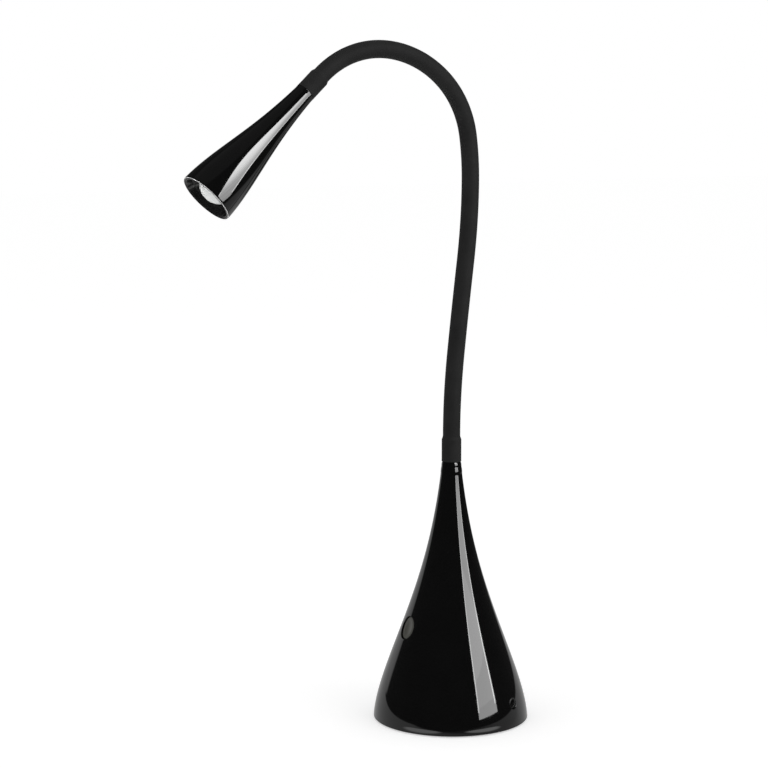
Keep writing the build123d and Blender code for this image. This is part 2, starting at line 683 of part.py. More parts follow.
def neck_line():
    """The smooth line of the sleeve: one arc round each hinge, from mid link to mid link."""
    ends = [Vector(0, 0, neck_start)]
    ends += [(a + b) * 0.5 for a, b in zip(hinges, hinges[1:])]
    ends.append(neck_end)
    edges = []
    for k, (start, stop) in enumerate(zip(ends, ends[1:])):
        if abs(link_headings[k + 1] - link_headings[k]) < STRAIGHT_TURN:
            edges.append(Line(start, stop))
        else:
            edges.append(TangentArc(start, stop, tangent=towards(link_headings[k])))
    return Wire([edge.edge() for edge in edges])


def make_sleeve():
    """Silicone sleeve: an even tube along the neck and a cuff over each ferrule."""
    inner = SLEEVE_RADIUS - SLEEVE_WALL
    line = neck_line()
    start = frame_at(Vector(0, 0, neck_start), towards(link_headings[0]))
    soft = sweep(start * (Circle(SLEEVE_RADIUS) - Circle(inner)), path=line)
    cuff = turned(
        [
            (ferrule_radius, 0),
            (CUFF_RADIUS, 0),
            (CUFF_RADIUS, CUFF_LENGTH - CUFF_STEP),
            (SLEEVE_RADIUS, CUFF_LENGTH),
            (inner, CUFF_LENGTH),
            (ferrule_radius, CUFF_LENGTH - CUFF_STEP),
        ]
    )
    lower = Pos(0, 0, collar_top) * cuff
    upper = frame_at(head_back, head_axis * -1) * cuff
    return lower + soft + upper


def make_neck_lead():
    """The lead inside the links, from nut to nut."""
    low = Vector(0, 0, base_seat - WASHER_THICKNESS - NUT_THICKNESS - STUD_SPARE)
    high = head_back + head_axis * (head_seat + WASHER_THICKNESS + NUT_THICKNESS + STUD_SPARE)
    start = Line(low, Vector(0, 0, neck_start)).edge()
    stop = Line(neck_end, high).edge()
    path = Wire([start, *neck_line().edges(), stop])
    section = Plane(origin=low, z_dir=(0, 0, 1)) * Circle(LEAD_RADIUS)
    return sweep(section, path=path)


# ================================================================ head
# in the head's own frame Z runs from the back end to the rim
head_length = HEAD_BELL + HEAD_TAIL
head_frame = frame_at(head_back, head_axis)
rim_depth = level_with_room(head_radius, HEAD_BELL, HEAD_WALL, nut_room)
head_seat = head_length - rim_depth


def by_depth(shape):
    """Place a piece that is modelled with Z counted inwards from the rim."""
    return head_frame * Pos(0, 0, head_length) * Rot(180, 0, 0) * shape


def mouth_room(depth):
    """Radius of the head's cavity at a depth from the rim."""
    return inner_radius(head_radius, depth, HEAD_WALL)


sink_top = LEDGE_DEPTH - SINK_FLANGE
led_board_top = sink_top - LED_BOARD_THICKNESS
lens_back = RING_SEAT_DEPTH + LENS_FLANGE_THICKNESS
sink_radius = mouth_room(LEDGE_DEPTH) - ASSEMBLY_GAP
skirt_outer = sink_radius
skirt_inner = skirt_outer - RING_SKIRT_WALL
led_board_radius = skirt_inner - ASSEMBLY_GAP
ledge_inner = mouth_room(LEDGE_DEPTH) - LEDGE_WIDTH


def make_head_shell():
    """Bell with a ledge for the heat sink and a bored back end."""
    bell = bell_solid(head_radius, 0, HEAD_BELL)
    back = cylinder(COLLAR_RADIUS, HEAD_BELL, head_length)
    shell = bell + back - bell_solid(head_radius, 0, rim_depth, HEAD_WALL)
    ledge = cylinder(mouth_room(0) + HEAD_WALL / 2, LEDGE_DEPTH, LEDGE_DEPTH + LEDGE_THICKNESS) & bell
    ledge = ledge - cylinder(ledge_inner, LEDGE_DEPTH - CUT, LEDGE_DEPTH + LEDGE_THICKNESS + CUT)
    shell = shell + ledge - cylinder(stud_hole, rim_depth - CUT, head_length + CUT)
    rim = shell.edges().filter_by(GeomType.CIRCLE).group_by(Axis.Z)[0]
    return by_depth(fillet(rim, min(RIM_ROUND, HEAD_WALL * ROUND_SHARE)))


def make_mouth_ring():
    """Black ring in the mouth: a cone, a step, the lens's seat, and a skirt down to the sink."""
    front_outer = mouth_room(RING_DEPTH) - ASSEMBLY_GAP
    return by_depth(
        turned(
            [
                (front_outer - RING_LIP, RING_DEPTH),
                (front_outer, RING_DEPTH),
                (skirt_outer, sink_top),
                (skirt_inner, sink_top),
                (skirt_inner, lens_back),
                (LENS_FLANGE_RADIUS + ASSEMBLY_GAP, lens_back),
                (LENS_FLANGE_RADIUS + ASSEMBLY_GAP, RING_SEAT_DEPTH),
                (RING_INNER_RADIUS, RING_SEAT_DEPTH),
                (RING_STEP_RADIUS - RING_STEP_WIDTH, RING_STEP_DEPTH),
                (RING_STEP_RADIUS, RING_STEP_DEPTH),
            ]
        )
    )


def make_lens():
    """Domed lens with a flange behind the ring."""
    centre = LENS_DEPTH + LENS_SPHERE
    inner_sphere = LENS_SPHERE - LENS_WALL
    dome = Pos(0, 0, centre) * (Sphere(LENS_SPHERE) - Sphere(inner_sphere))
    dome = dome & cylinder(LENS_DOME_RADIUS, 0, lens_back)
    flange_inner = math.sqrt(inner_sphere**2 - (centre - RING_SEAT_DEPTH) ** 2) - LENS_FLANGE_BITE
    return by_depth(dome + tube(LENS_FLANGE_RADIUS, flange_inner, RING_SEAT_DEPTH, lens_back))


def make_lens_spacer():
    """White ring that holds the lens off the board."""
    outer = min(LENS_FLANGE_RADIUS, led_board_radius)
    return by_depth(tube(outer, outer - SPACER_WALL, lens_back, led_board_top))


def make_led_board():
    """Metal-cored board on the heat sink."""
    board = cylinder(led_board_radius, led_board_top, sink_top)
    for place in led_screw_places:
        board = board - place * cylinder(small_hole, led_board_top, sink_top)
    return by_depth(board)


def make_led():
    """Light source in the middle of the board."""
    return by_depth(cylinder(LED_RADIUS, led_board_top - LED_HEIGHT, led_board_top))


led_screw_places = around(2, 0, LED_SCREW_CIRCLE)


def make_led_screws():
    """Two screws that hold the board on the heat sink."""
    screw = pan_screw(SMALL_SCREW_RADIUS, LED_SCREW_LENGTH, SMALL_HEAD_RADIUS, SMALL_HEAD_HEIGHT)
    screw = Pos(0, 0, led_board_top) * Rot(180, 0, 0) * screw
    return Compound([by_depth(place * screw) for place in led_screw_places])


def make_heat_sink():
    """Turned flange with a finned core behind it."""
    back = LEDGE_DEPTH + SINK_FIN_LENGTH
    room = min(SINK_FIN_RADIUS, mouth_room(back) - ASSEMBLY_GAP, ledge_inner - ASSEMBLY_GAP)
    sink = cylinder(sink_radius, sink_top, LEDGE_DEPTH) + cylinder(SINK_CORE_RADIUS, LEDGE_DEPTH, back)
    fin = Box(room, SINK_FIN_THICKNESS, SINK_FIN_LENGTH, align=(Align.MIN, Align.CENTER, Align.MIN))
    for i in range(SINK_FIN_COUNT):
        sink = sink + Rot(0, 0, 360 / SINK_FIN_COUNT * (i + 0.5)) * Pos(0, 0, LEDGE_DEPTH) * fin
    sink = sink - cylinder(STUD_BORE, sink_top - CUT, back + CUT)
    for place in led_screw_places:
        sink = sink - place * cylinder(SMALL_SCREW_RADIUS, sink_top - CUT, led_board_top + LED_SCREW_LENGTH)
    return by_depth(sink)


def make_head_lead():
    """The lead's last stretch, from the neck through the sink to the board."""
    stud_end = rim_depth - WASHER_THICKNESS - NUT_THICKNESS - STUD_SPARE
    return by_depth(cylinder(LEAD_RADIUS, sink_top, stud_end))


# ================================================================ leads in the base
lead_socket_top = board_top + CONNECTOR_SIZE[2]
stud_bottom = base_seat - WASHER_THICKNESS - NUT_THICKNESS - STUD_SPARE


def make_base_lead():
    """From the socket on the board up to the lower nut."""
    rise = stud_bottom - lead_socket_top
    low, high = BASE_LEAD_LEVELS
    points = [
        (LEAD_SOCKET_REACH, 0, lead_socket_top),
        (LEAD_SOCKET_REACH, 0, lead_socket_top + rise * low),
        (0, 0, lead_socket_top + rise * high),
        (0, 0, stud_bottom),
    ]
    return cable(points, LEAD_RADIUS)


def make_switch_lead():
    """From the back of the switch's board down to its socket."""
    start = (button_frame * Pos(0, 0, -switch_board_bottom)).position
    outward = direction(BUTTON_ANGLE)
    drop = start.Z - lead_socket_top
    high, low = SWITCH_LEAD_LEVELS
    points = [
        start,
        start + button_out * -SWITCH_LEAD_EXIT,
        outward * (SWITCH_SOCKET_REACH - SWITCH_LEAD_LEAN) + Vector(0, 0, lead_socket_top + drop * high),
        outward * SWITCH_SOCKET_REACH + Vector(0, 0, lead_socket_top + drop * low),
        outward * SWITCH_SOCKET_REACH + Vector(0, 0, lead_socket_top),
    ]
    return cable(points, SWITCH_LEAD_RADIUS)


# ================================================================ write the pieces
save("base_shell", make_base_shell())
save("foot_pad", make_foot_pad())
save("base_plate", make_base_plate())
save("ballast_weight", make_ballast())
save("plate_screws", make_plate_side_screws(plate_screw_places, PLATE_SCREW_LENGTH))
save("ballast_screws", make_plate_side_screws(ballast_screw_places, BALLAST_SCREW_LENGTH))
save("driver_board", make_driver_board())
save("driver_components", make_driver_components())
board_screw = pan_screw(SCREW_RADIUS, BOARD_SCREW_LENGTH, SCREW_HEAD_RADIUS, SCREW_HEAD_HEIGHT)
save("board_screws", Compound([place * Pos(0, 0, board_top) * board_screw for place in board_post_places]))
save("dc_inlet", make_inlet())
save("dc_inlet_pin", make_inlet_pin())
save("switch_cap", make_button())
save("switch_spring", make_spring())
save("switch_guide", make_guide())
save("switch_board", make_switch_board())
save("tact_switch", make_tact_switch())
save("switch_screws", make_switch_screws())
base_lead, base_lead_radii = make_base_lead()
save("base_lead", base_lead)
switch_lead, switch_lead_radii = make_switch_lead()
save("switch_lead", switch_lead)

save("lower_ferrule", make_lower_ferrule())
washer = tube(WASHER_RADIUS, stud_hole, 0, WASHER_THICKNESS)
nut = hex_nut(NUT_FLATS, STUD_RADIUS, NUT_THICKNESS)
save("lower_washer", Pos(0, 0, base_seat - WASHER_THICKNESS) * washer)
save("lower_nut", Pos(0, 0, base_seat - WASHER_THICKNESS - NUT_THICKNESS) * nut)
save("neck_sleeve", make_sleeve())
save("neck_lead", make_neck_lead())
link = make_link()
for k in range(1, HINGE_COUNT):
    save(f"neck_link_{k:02d}", frame_at(hinges[k - 1], towards(link_headings[k])) * link)
save("upper_ferrule", make_upper_ferrule())
save("upper_washer", head_frame * Pos(0, 0, head_seat) * washer)
save("upper_nut", head_frame * Pos(0, 0, head_seat + WASHER_THICKNESS) * nut)

save("head_shell", make_head_shell())
save("mouth_ring", make_mouth_ring())
save("lens", make_lens())
save("lens_spacer", make_lens_spacer())
save("led_board", make_led_board())
save("led", make_led())
save("led_screws", make_led_screws())
save("heat_sink", make_heat_sink())
save("head_lead", make_head_lead())


def metres(point):
    """A point in metres, for the record of joints and mounts."""
    return [round(value / 1000, 7) for value in (point.X, point.Y, point.Z)]


print("lead radii", [round(r, 1) for r in base_lead_radii + switch_lead_radii])
print("button centre", metres(button_centre), "out", [round(v, 8) for v in tuple(button_out)])
print("inlet centre", metres(inlet_centre), "out", [round(v, 8) for v in tuple(inlet_out)])
print("head back", metres(head_back), "axis", [round(v, 8) for v in tuple(head_axis)])
print("rim centre", metres(head_back + head_axis * head_length))
for k, point in enumerate(hinges, 1):
    print(f"hinge {k}", metres(point))
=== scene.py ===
"""Gooseneck desk lamp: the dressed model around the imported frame.

Shapes are worked out in millimetres, as the part's own source does, and come out in metres.
"""
import json
from math import acos, atan, atan2, copysign, cos, exp, hypot, pi, radians, sin, sqrt, tan

import bmesh
import bpy
from mathutils import Matrix, Vector


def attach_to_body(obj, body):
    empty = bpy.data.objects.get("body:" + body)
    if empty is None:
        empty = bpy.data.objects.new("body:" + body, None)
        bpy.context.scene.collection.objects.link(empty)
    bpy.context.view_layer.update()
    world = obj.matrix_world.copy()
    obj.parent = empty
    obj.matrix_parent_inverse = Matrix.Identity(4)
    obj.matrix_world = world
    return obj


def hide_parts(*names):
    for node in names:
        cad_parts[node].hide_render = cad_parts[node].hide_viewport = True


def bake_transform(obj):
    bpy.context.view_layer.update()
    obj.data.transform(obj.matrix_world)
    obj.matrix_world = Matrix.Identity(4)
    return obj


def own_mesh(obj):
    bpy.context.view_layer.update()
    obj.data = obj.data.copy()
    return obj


MM = 0.001
TINY = 1e-6

# ---- the part's sizes, in millimetres and degrees, as its source has them
BASE_RADIUS = 57.5
BELL_HEIGHT = 190.0
BELL_SPREAD = 114.0
BELL_SHARPNESS = 1.58
COLLAR_RADIUS = 7.25
COLLAR_LENGTH = 4.65
BASE_WALL = 2.4
EDGE_LIFT = 0.8
EDGE_ROUND = 0.7
PLATE_BOTTOM = 2.0
PLATE_GAP = 0.44
FOOT_INSET = 2.5
STUD_HOLE = 4.7
NUT_ROOM = 6.55
NUT_THICKNESS = 4.0
WASHER_THICKNESS = 0.8
STUD_SPARE = 1.5
CUFF_RADIUS = 7.25
CUFF_LENGTH = 17.6
CUFF_STEP = 2.4
SLEEVE_RADIUS = 6.4
SLEEVE_WALL = 1.3
LEAD_RADIUS = 1.5
HINGE_COUNT = 24
SIDE_HINGES = 6
HEAD_BELL = 103.0
HEAD_TAIL = 2.5
HEAD_RADIUS = 20.15
HEAD_SPREAD = 65.0
HEAD_SHARPNESS = 1.82
HEAD_WALL = 1.6
HEAD_BACK = (-120.7602, 0, 462.6222)
HEAD_DIRECTION = (-0.7325429, 0, -0.68072087)
LEDGE_DEPTH = 18.9
LEDGE_THICKNESS = 2.0
LEDGE_WIDTH = 2.4
BUTTON_ANGLE = 174.0
BUTTON_HEIGHT = 71.3
BUTTON_RADIUS = 8.25
BUTTON_HOLE = 8.6
BUTTON_DISH_RADIUS = 24.0
BUTTON_DISH_DEPTH = 0.9
BUTTON_CROWN = 3.4
FLANGE_RADIUS = 9.85
FLANGE_TOP = 5.35
FLANGE_BOTTOM = 6.85
CAP_HOLLOW = 6.6
STEM_RADIUS = 2.0
STEM_END = 8.5
GUIDE_TOP = 8.8
SPRING_RADIUS = 4.6
SPRING_WIRE = 0.4
SPRING_TURNS = 4
INLET_ANGLE = 295.5
INLET_HEIGHT = 18.2
INLET_HOLE = 4.1
INLET_BARREL = 3.9
INLET_BORE = 3.0
INLET_RECESS = 0.6
INLET_BORE_DEPTH = 11.0
INLET_WIDTH = 9.0
INLET_BODY_HEIGHT = 11.0
INLET_BODY_LENGTH = 12.0
ASSEMBLY_GAP = 0.2
RING_START = 0.8  # depth of the mouth ring's front edge behind the rim
RING_SEAT = 3.0  # how far the ring's skirt ends before the ledge
RING_SKIRT_WALL = 1.7
RING_STEP_DEPTH = 5.0
RING_STEP_RADIUS = 16.0
RING_INNER_RADIUS = 12.95
RING_SEAT_RADIUS = 14.6
LENS_FRONT = 0.9
LENS_DOME = 14.3
LENS_DOME_INNER = 12.5
LENS_FLANGE = 14.4
LENS_FLANGE_FRONT = 8.4
LENS_FLANGE_BACK = 9.6

# ---- details of the visible model, in millimetres and degrees
OPENING_REACH = (-9.0, 2.0)  # how far in and out along its axis an opening's skins may lie
BUTTON_RECESS = 1.2  # how deep the button's edge lies under the shell's skin
CAP_EDGE = 0.4  # rounding of the button's edge
CAP_SOFTNESS = 0.25  # how softly its dish runs into its border
BUTTON_LIP = 0.35  # rounding of the shell round the button
INLET_LIP = 0.3
BARREL_OVERLAP = 1.0  # how far the inlet's barrel reaches into its housing
SKIRT = 1.35  # how far the lower cuff laps over the collar
SKIRT_SEAT = 6.75  # radius of the collar under the cuff's skirt
SKIRT_GAP = 0.03
CUFF_BEAD = 0.06  # how far the bead at the cuff's end stands proud
CUFF_BEAD_LENGTH = 1.1
CUFF_END_ROUND = 0.3
CUFF_EASE = 3.0  # length of the cuff's soft step down to the sleeve
SLEEVE_LAP = 1.4  # how far the pieces of the sleeve lap at a hinge
LEAD_LAP = 0.45
LAP_TUCK = 0.05  # how far a piece's start is thinned to slip inside its neighbour
RINGS_PER_HINGE = 9
LAP_SHOULDER = 0.004  # in hinge pitches, from the end of the lap to the full radius
RIM_ROUND = 0.75
LIP_ROLL = 0.2  # how far the head's skin rolls in at its rim
LIP_LENGTH = 1.9
# a pale band on the rim's outer edge is a painted highlight: it stands in for the gloss highlight on the
# black edge
PAINTED_HIGHLIGHT_START = 40.0  # degrees round the rim's outer edge, from its face, where the pale band of painted highlight begins
PAINTED_HIGHLIGHT_DEPTH = 0.2
PAINTED_HIGHLIGHT_PROUD = 0.02
TAIL_ROUND = 0.3
RING_STEP_INNER = 14.9  # where the mouth ring's step meets its inner cone
LENS_BEAD = 0.28
LENS_BEAD_PLACE = (0.02, 0.55)  # its centre: outside the dome's end, and in front of the flange
LENS_BEAD_ARC = (-1.9, 1.2)  # radians
LENS_DOME_STOP = 0.9  # how far in front of the flange the dome ends
FOOT_GROOVES = (18.0, 7.0)  # radius of the inner groove, and the outer one's distance from the edge
FOOT_GROOVE_WIDTH = 2.0
FOOT_GROOVE_DEPTH = 0.35
FOOT_ROUND = 0.5

# the slope of the base's skin at some heights, from the bell to the cuff's lower edge
COLLAR_SLOPES = (
    (183.0, -0.129), (184.2, -0.03), (185.5, -0.03), (187.3, -0.12), (188.8, -0.24), (189.6, -0.055),
    (191.0, -0.055), (192.6, -0.40), (193.3, -0.8),
)

# ---- the studio, in metres and degrees; azimuths run from +Y towards +X
CAMERA_PLACE = (-0.8479, -1.3569, 0.4648)
CAMERA_DIRECTION = (0.4989, 0.8565, -0.1328)
FOCAL_LENGTH = 103.1
AMBIENT = 0.62  # even light on matte surfaces
MIRROR_AMBIENT = 0.04  # what glossy surfaces show where nothing else is
FLOOR_REACH = 8.0
FLOOR_TONE = 0.8
FLOOR_LIFT = 0.5  # added to the floor for the camera, so that it is white and keeps the shadow
TABLE_GLOW = 0.55
TABLE_AHEAD = (-0.13, -0.03)  # along Y, where the table begins to show in reflections
TABLE_NEAR = (0.7, 1.2)  # distances over which its near part ends
TABLE_POOLS = (  # x, y, radius and strength of brighter and dimmer pools on it
    (-0.1, -0.05, 0.05, 1.9), (0.012, -0.12, 0.052, 2.2), (0.1, -0.1, 0.14, 0.4), (-0.12, 0.03, 0.1, 0.3),
    (0.65, -0.1, 0.8, 0.42),
)
POOL_CORE = 0.6  # the part of a pool's radius that is at full strength
BACKDROP_MIDDLE = 9.0
BACKDROP_HALF = 37.0
BACKDROP_EDGE = 6.0
BACKDROP_TOP = 6.0
BACKDROP_FADE = 14.0
BACKDROP_GLOW = 0.62
CEILING_START = 48.0
CEILING_FULL = 58.0
CEILING_GLOW = 0.12
SOFTBOX_AZIMUTH = 153
SOFTBOX_DISTANCE = 1.15
SOFTBOX_WIDTH = 0.665
SOFTBOX_BANDS = (  # lower end, upper end and radiance
    (0.115, 0.25, 6.0), (0.25, 0.45, 6.8), (0.45, 0.6, 7.8), (0.6, 0.7, 9.5), (0.7, 0.8, 12.0),
    (0.8, 0.92, 14.5), (0.92, 1.1, 16.5), (1.1, 1.7, 18.0),
)
PANELS = (  # name, azimuth, distance, width, lower end, upper end, radiance, mirrored, lit
    ("softbox_edge_0", 138.6, 1.17, 0.03, 0.2, 0.62, 12.0, True, False),
    ("softbox_edge_1", 168.6, 1.17, 0.03, 0.2, 0.62, 9.0, True, False),
    ("key", 160, 1.6, 1.2, 0.5, 2.0, 0.8, False, True),
    ("fill", 265, 1.8, 1.2, 0.4, 1.8, 0.5, False, True),
)
MOUTH_LIGHT = 0.36
MOUTH_LIGHT_SIZE = 0.16
MOUTH_LIGHT_SPREAD = 24.0
MOUTH_LIGHT_DISTANCE = 0.38

collar_top = BELL_HEIGHT + COLLAR_LENGTH
neck_start = collar_top + CUFF_LENGTH
head_length = HEAD_BELL + HEAD_TAIL
head_back = Vector(HEAD_BACK)
head_axis = Vector(HEAD_DIRECTION).normalized()
lip_span = LIP_LENGTH - RIM_ROUND
roll_end = atan(2 * LIP_ROLL / lip_span)
# where the painted highlight band on the rim's edge begins and ends
painted_highlight_start = radians(PAINTED_HIGHLIGHT_START)
painted_highlight_stop = pi / 2 - roll_end

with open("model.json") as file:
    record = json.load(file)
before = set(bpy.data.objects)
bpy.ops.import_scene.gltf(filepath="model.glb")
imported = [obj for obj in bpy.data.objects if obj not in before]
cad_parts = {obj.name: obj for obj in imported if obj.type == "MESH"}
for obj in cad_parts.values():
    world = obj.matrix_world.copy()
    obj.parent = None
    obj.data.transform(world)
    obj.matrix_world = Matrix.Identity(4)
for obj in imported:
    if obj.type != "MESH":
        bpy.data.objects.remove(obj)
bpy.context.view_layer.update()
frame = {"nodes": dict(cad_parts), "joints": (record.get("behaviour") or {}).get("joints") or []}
scene = bpy.context.scene


def add_object(name, data):
    """A new object in the scene."""
    item = bpy.data.objects.new(name, data)
    scene.collection.objects.link(item)
    return item


def make_camera():
    """The camera at the photograph's place: front right, a little below the head's level."""
    lens = bpy.data.cameras.new("camera")
    lens.lens = FOCAL_LENGTH
    lens.sensor_width = 36.0
    lens.clip_end = 50.0
    camera = add_object("camera", lens)
    camera.location = CAMERA_PLACE
    camera.rotation_euler = Vector(CAMERA_DIRECTION).to_track_quat("-Z", "Y").to_euler()
    scene.camera = camera


# ---- node trees
class Graph:
    """Short calls that build a node tree."""

    def __init__(self, owner):
        owner.use_nodes = True
        self.tree = owner.node_tree
        self.tree.nodes.clear()

    def add(self, kind, **settings):
        """A new shader node."""
        node = self.tree.nodes.new("ShaderNode" + kind)
        for name, value in settings.items():
            setattr(node, name, value)
        return node

    def feed(self, socket, value):
        """Link an output to a socket, or set the socket to a value."""
        if isinstance(value, bpy.types.NodeSocket):
            self.tree.links.new(value, socket)
        else:
            socket.default_value = value

    def math(self, operation, *values):
        """A sum of numbers."""
        node = self.add("Math", operation=operation)
        for socket, value in zip(node.inputs, values):
            self.feed(socket, value)
        return node.outputs[0]

    def vector(self, operation, vector, fixed=None):
        """A sum of a vector and, for some, a fixed one. Its output is a vector or a number."""
        node = self.add("VectorMath", operation=operation)
        self.feed(node.inputs[0], vector)
        if fixed is not None:
            node.inputs[1].default_value = fixed
        gives_number = operation in ("LENGTH", "DISTANCE", "DOT_PRODUCT")
        return node.outputs["Value" if gives_number else "Vector"]

    def split(self, vector):
        """The three parts of a vector."""
        node = self.add("SeparateXYZ")
        self.feed(node.inputs[0], vector)
        return node.outputs

    def ramp(self, value, low, high, start, stop, smooth=False):
        """A number that goes from start to stop as the value goes from low to high."""
        kind = "SMOOTHSTEP" if smooth else "LINEAR"
        node = self.add("MapRange", interpolation_type=kind)
        names = ("Value", "From Min", "From Max", "To Min", "To Max")
        for name, part in zip(names, (value, low, high, start, stop)):
            self.feed(node.inputs[name], part)
        return node.outputs[0]

    def noise(self, scale, detail=2.0, stretch=(1, 1, 1)):
        """Noise that is fixed to the piece; scale is per metre."""
        coordinates = self.add("TexCoord").outputs["Object"]
        if stretch != (1, 1, 1):
            mapping = self.add("Mapping")
            mapping.inputs["Scale"].default_value = stretch
            self.feed(mapping.inputs["Vector"], coordinates)
            coordinates = mapping.outputs[0]
        node = self.add("TexNoise")
        self.feed(node.inputs["Vector"], coordinates)
        node.inputs["Scale"].default_value = scale
        node.inputs["Detail"].default_value = detail
        node.inputs["Roughness"].default_value = 0.5
        return node.outputs["Fac"]

    def mix(self, factor, low, high):
        """A colour between two."""
        node = self.add("Mix", data_type="RGBA")
        self.feed(node.inputs[0], factor)
        self.feed(node.inputs[6], low)
        self.feed(node.inputs[7], high)
        return node.outputs[2]

    def choose(self, factor, first, second):
        """The first shader where factor is 0, the second where it is 1."""
        node = self.add("MixShader")
        for socket, value in zip(node.inputs, (factor, first, second)):
            self.feed(socket, value)
        return node.outputs[0]

    def glow(self, strength):
        """White light of its own."""
        node = self.add("Emission")
        self.feed(node.inputs["Strength"], strength)
        return node.outputs[0]

    def rays(self):
        """1 on rays from the camera, and 1 on rays that glossy and clear surfaces send on."""
        path = self.add("LightPath").outputs
        return path["Is Camera Ray"], self.math("MAXIMUM", path["Is Glossy Ray"], path["Is Transmission Ray"])

    def close(self, kind, surface):
        """Hand the surface to the output node."""
        self.feed(self.add(kind).inputs["Surface"], surface)


def tone(value):
    """A grey, or a colour given by its three parts, with its alpha."""
    parts = (value, value, value) if isinstance(value, (int, float)) else value
    return (*parts, 1.0)


def finish(name, low, high, rough, grain, bump, fixed=None, stretch=(1, 1, 1), patch=60.0):
    """A material that drifts between two tones and two roughnesses, with a fine relief.

    grain is the relief's noise scale per metre, bump its depth in metres, patch the scale of the drift.
    """
    material = bpy.data.materials.new(name)
    graph = Graph(material)
    surface = graph.add("BsdfPrincipled")
    drift = graph.ramp(graph.noise(patch, detail=4.0), 0.35, 0.65, 0, 1)
    graph.feed(surface.inputs["Base Color"], graph.mix(drift, tone(low), tone(high)))
    spots = graph.noise(grain * 0.35, detail=3.0, stretch=stretch)
    graph.feed(surface.inputs["Roughness"], graph.ramp(spots, 0.3, 0.7, rough[0], rough[1]))
    relief = graph.add("Bump")
    relief.inputs["Distance"].default_value = bump
    relief.inputs["Strength"].default_value = 1.0
    graph.feed(relief.inputs["Height"], graph.noise(grain, detail=2.0, stretch=stretch))
    graph.feed(surface.inputs["Normal"], relief.outputs[0])
    for socket, value in (fixed or {}).items():
        surface.inputs[socket].default_value = value
    graph.close("OutputMaterial", surface.outputs[0])
    return material


METAL = {"Metallic": 1.0}
HALF_METAL = {"Metallic": 0.7}
SOFT_SKIN = {"Specular IOR Level": 0.05, "Sheen Weight": 0.05}
MILKY = {"Subsurface Weight": 0.2, "Subsurface Scale": 0.002, "Subsurface Radius": (1.0, 1.0, 1.0)}
FINISHES = (
    ("gloss_black", 0.0028, 0.0034, (0.035, 0.055), 350, 2e-6),
    ("satin_black", 0.007, 0.01, (0.16, 0.2), 1200, 4e-6),
    ("button_grey", (0.074, 0.073, 0.062), (0.086, 0.085, 0.072), (0.34, 0.42), 2500, 1.2e-5),
    ("silicone", 0.019, 0.024, (0.66, 0.74), 2600, 2.5e-5, SOFT_SKIN),
    ("lead_black", 0.015, 0.02, (0.45, 0.55), 1500, 1e-5),
    ("foot_rubber", 0.018, 0.026, (0.75, 0.85), 2200, 4e-5),
    ("plate_steel", 0.48, 0.56, (0.3, 0.42), 900, 6e-6, METAL, (1, 12, 1), 25),
    ("cast_iron", 0.05, 0.075, (0.6, 0.75), 700, 1.2e-4, HALF_METAL),
    ("screw_steel", 0.42, 0.5, (0.25, 0.36), 2500, 5e-6, METAL),
    ("spring_steel", 0.45, 0.52, (0.2, 0.3), 3000, 4e-6, METAL),
    ("core_steel", 0.36, 0.45, (0.28, 0.4), 2200, 8e-6, METAL),
    ("circuit_board", (0.012, 0.075, 0.03), (0.016, 0.1, 0.04), (0.3, 0.4), 1200, 1e-5),
    ("component_black", 0.008, 0.012, (0.38, 0.46), 2400, 1e-5),
    ("inner_plastic", 0.035, 0.045, (0.45, 0.55), 1800, 1.5e-5),
    ("plated_brass", (0.62, 0.6, 0.54), (0.7, 0.68, 0.6), (0.18, 0.28), 2600, 4e-6, METAL),
    ("frosted_lens", (0.8, 0.81, 0.8), (0.86, 0.87, 0.86), (0.28, 0.34), 3000, 6e-6, MILKY),
    ("white_plastic", 0.68, 0.74, (0.4, 0.48), 1800, 1e-5),
    # board_aluminium also colours the pale band of painted highlight on the head's rim
    ("board_aluminium", 0.75, 0.8, (0.35, 0.42), 1500, 5e-6),
    ("led_yellow", (0.75, 0.55, 0.05), (0.82, 0.62, 0.08), (0.35, 0.45), 2600, 1e-5),
    ("sink_aluminium", 0.6, 0.68, (0.32, 0.42), 1400, 8e-6, METAL, (1, 1, 10)),
)
materials = {row[0]: finish(*row) for row in FINISHES}


# ---- profiles
def bell_radius(t, length, wide, narrow, spread, sharpness):
    """Radius of a bell at a distance t from its wide end."""
    end = exp(-((length / spread) ** sharpness))
    fall = exp(-((min(max(t, 0.0), length) / spread) ** sharpness))
    return narrow + (wide - narrow) * (fall - end) / (1 - end)


def base_radius(z):
    """Outer radius of the base shell at height z."""
    return bell_radius(z, BELL_HEIGHT, BASE_RADIUS, COLLAR_RADIUS, BELL_SPREAD, BELL_SHARPNESS)


def head_radius(depth):
    """Outer radius of the head shell at a depth from its rim."""
    return bell_radius(depth, HEAD_BELL, HEAD_RADIUS, COLLAR_RADIUS, HEAD_SPREAD, HEAD_SHARPNESS)


def slope(radius, t):
    """Change of a bell's radius along its length."""
    step = 0.01
    return (radius(t + step) - radius(t - step)) / (2 * step) if t > step else 0.0


def halved(low, high, below, steps):
    """Where a test stops being true between low and high, as the last interval."""
    for _ in range(steps):
        middle = (low + high) / 2
        if below(middle):
            low = middle
        else:
            high = middle
    return low, high


def inner_radius(radius, t, wall):
    """Radius of a bell's inner skin at t."""

    def tilt(s):
        return atan(-slope(radius, s))

    high = halved(t, t + 2 * wall, lambda s: s - wall * sin(tilt(s)) < t, 30)[1]
    return radius(high) - wall * cos(tilt(high))


def level_with_room(radius, length, wall, room):
    """The furthest t at which a bell's cavity still has a given radius."""
    return halved(0.0, length, lambda t: inner_radius(radius, t, wall) > room, 30)[0]


# where the two cavities end, with just the room for the neck's nuts
base_seat = level_with_room(base_radius, BELL_HEIGHT, BASE_WALL, NUT_ROOM)
head_seat = level_with_room(head_radius, HEAD_BELL, HEAD_WALL, NUT_ROOM)


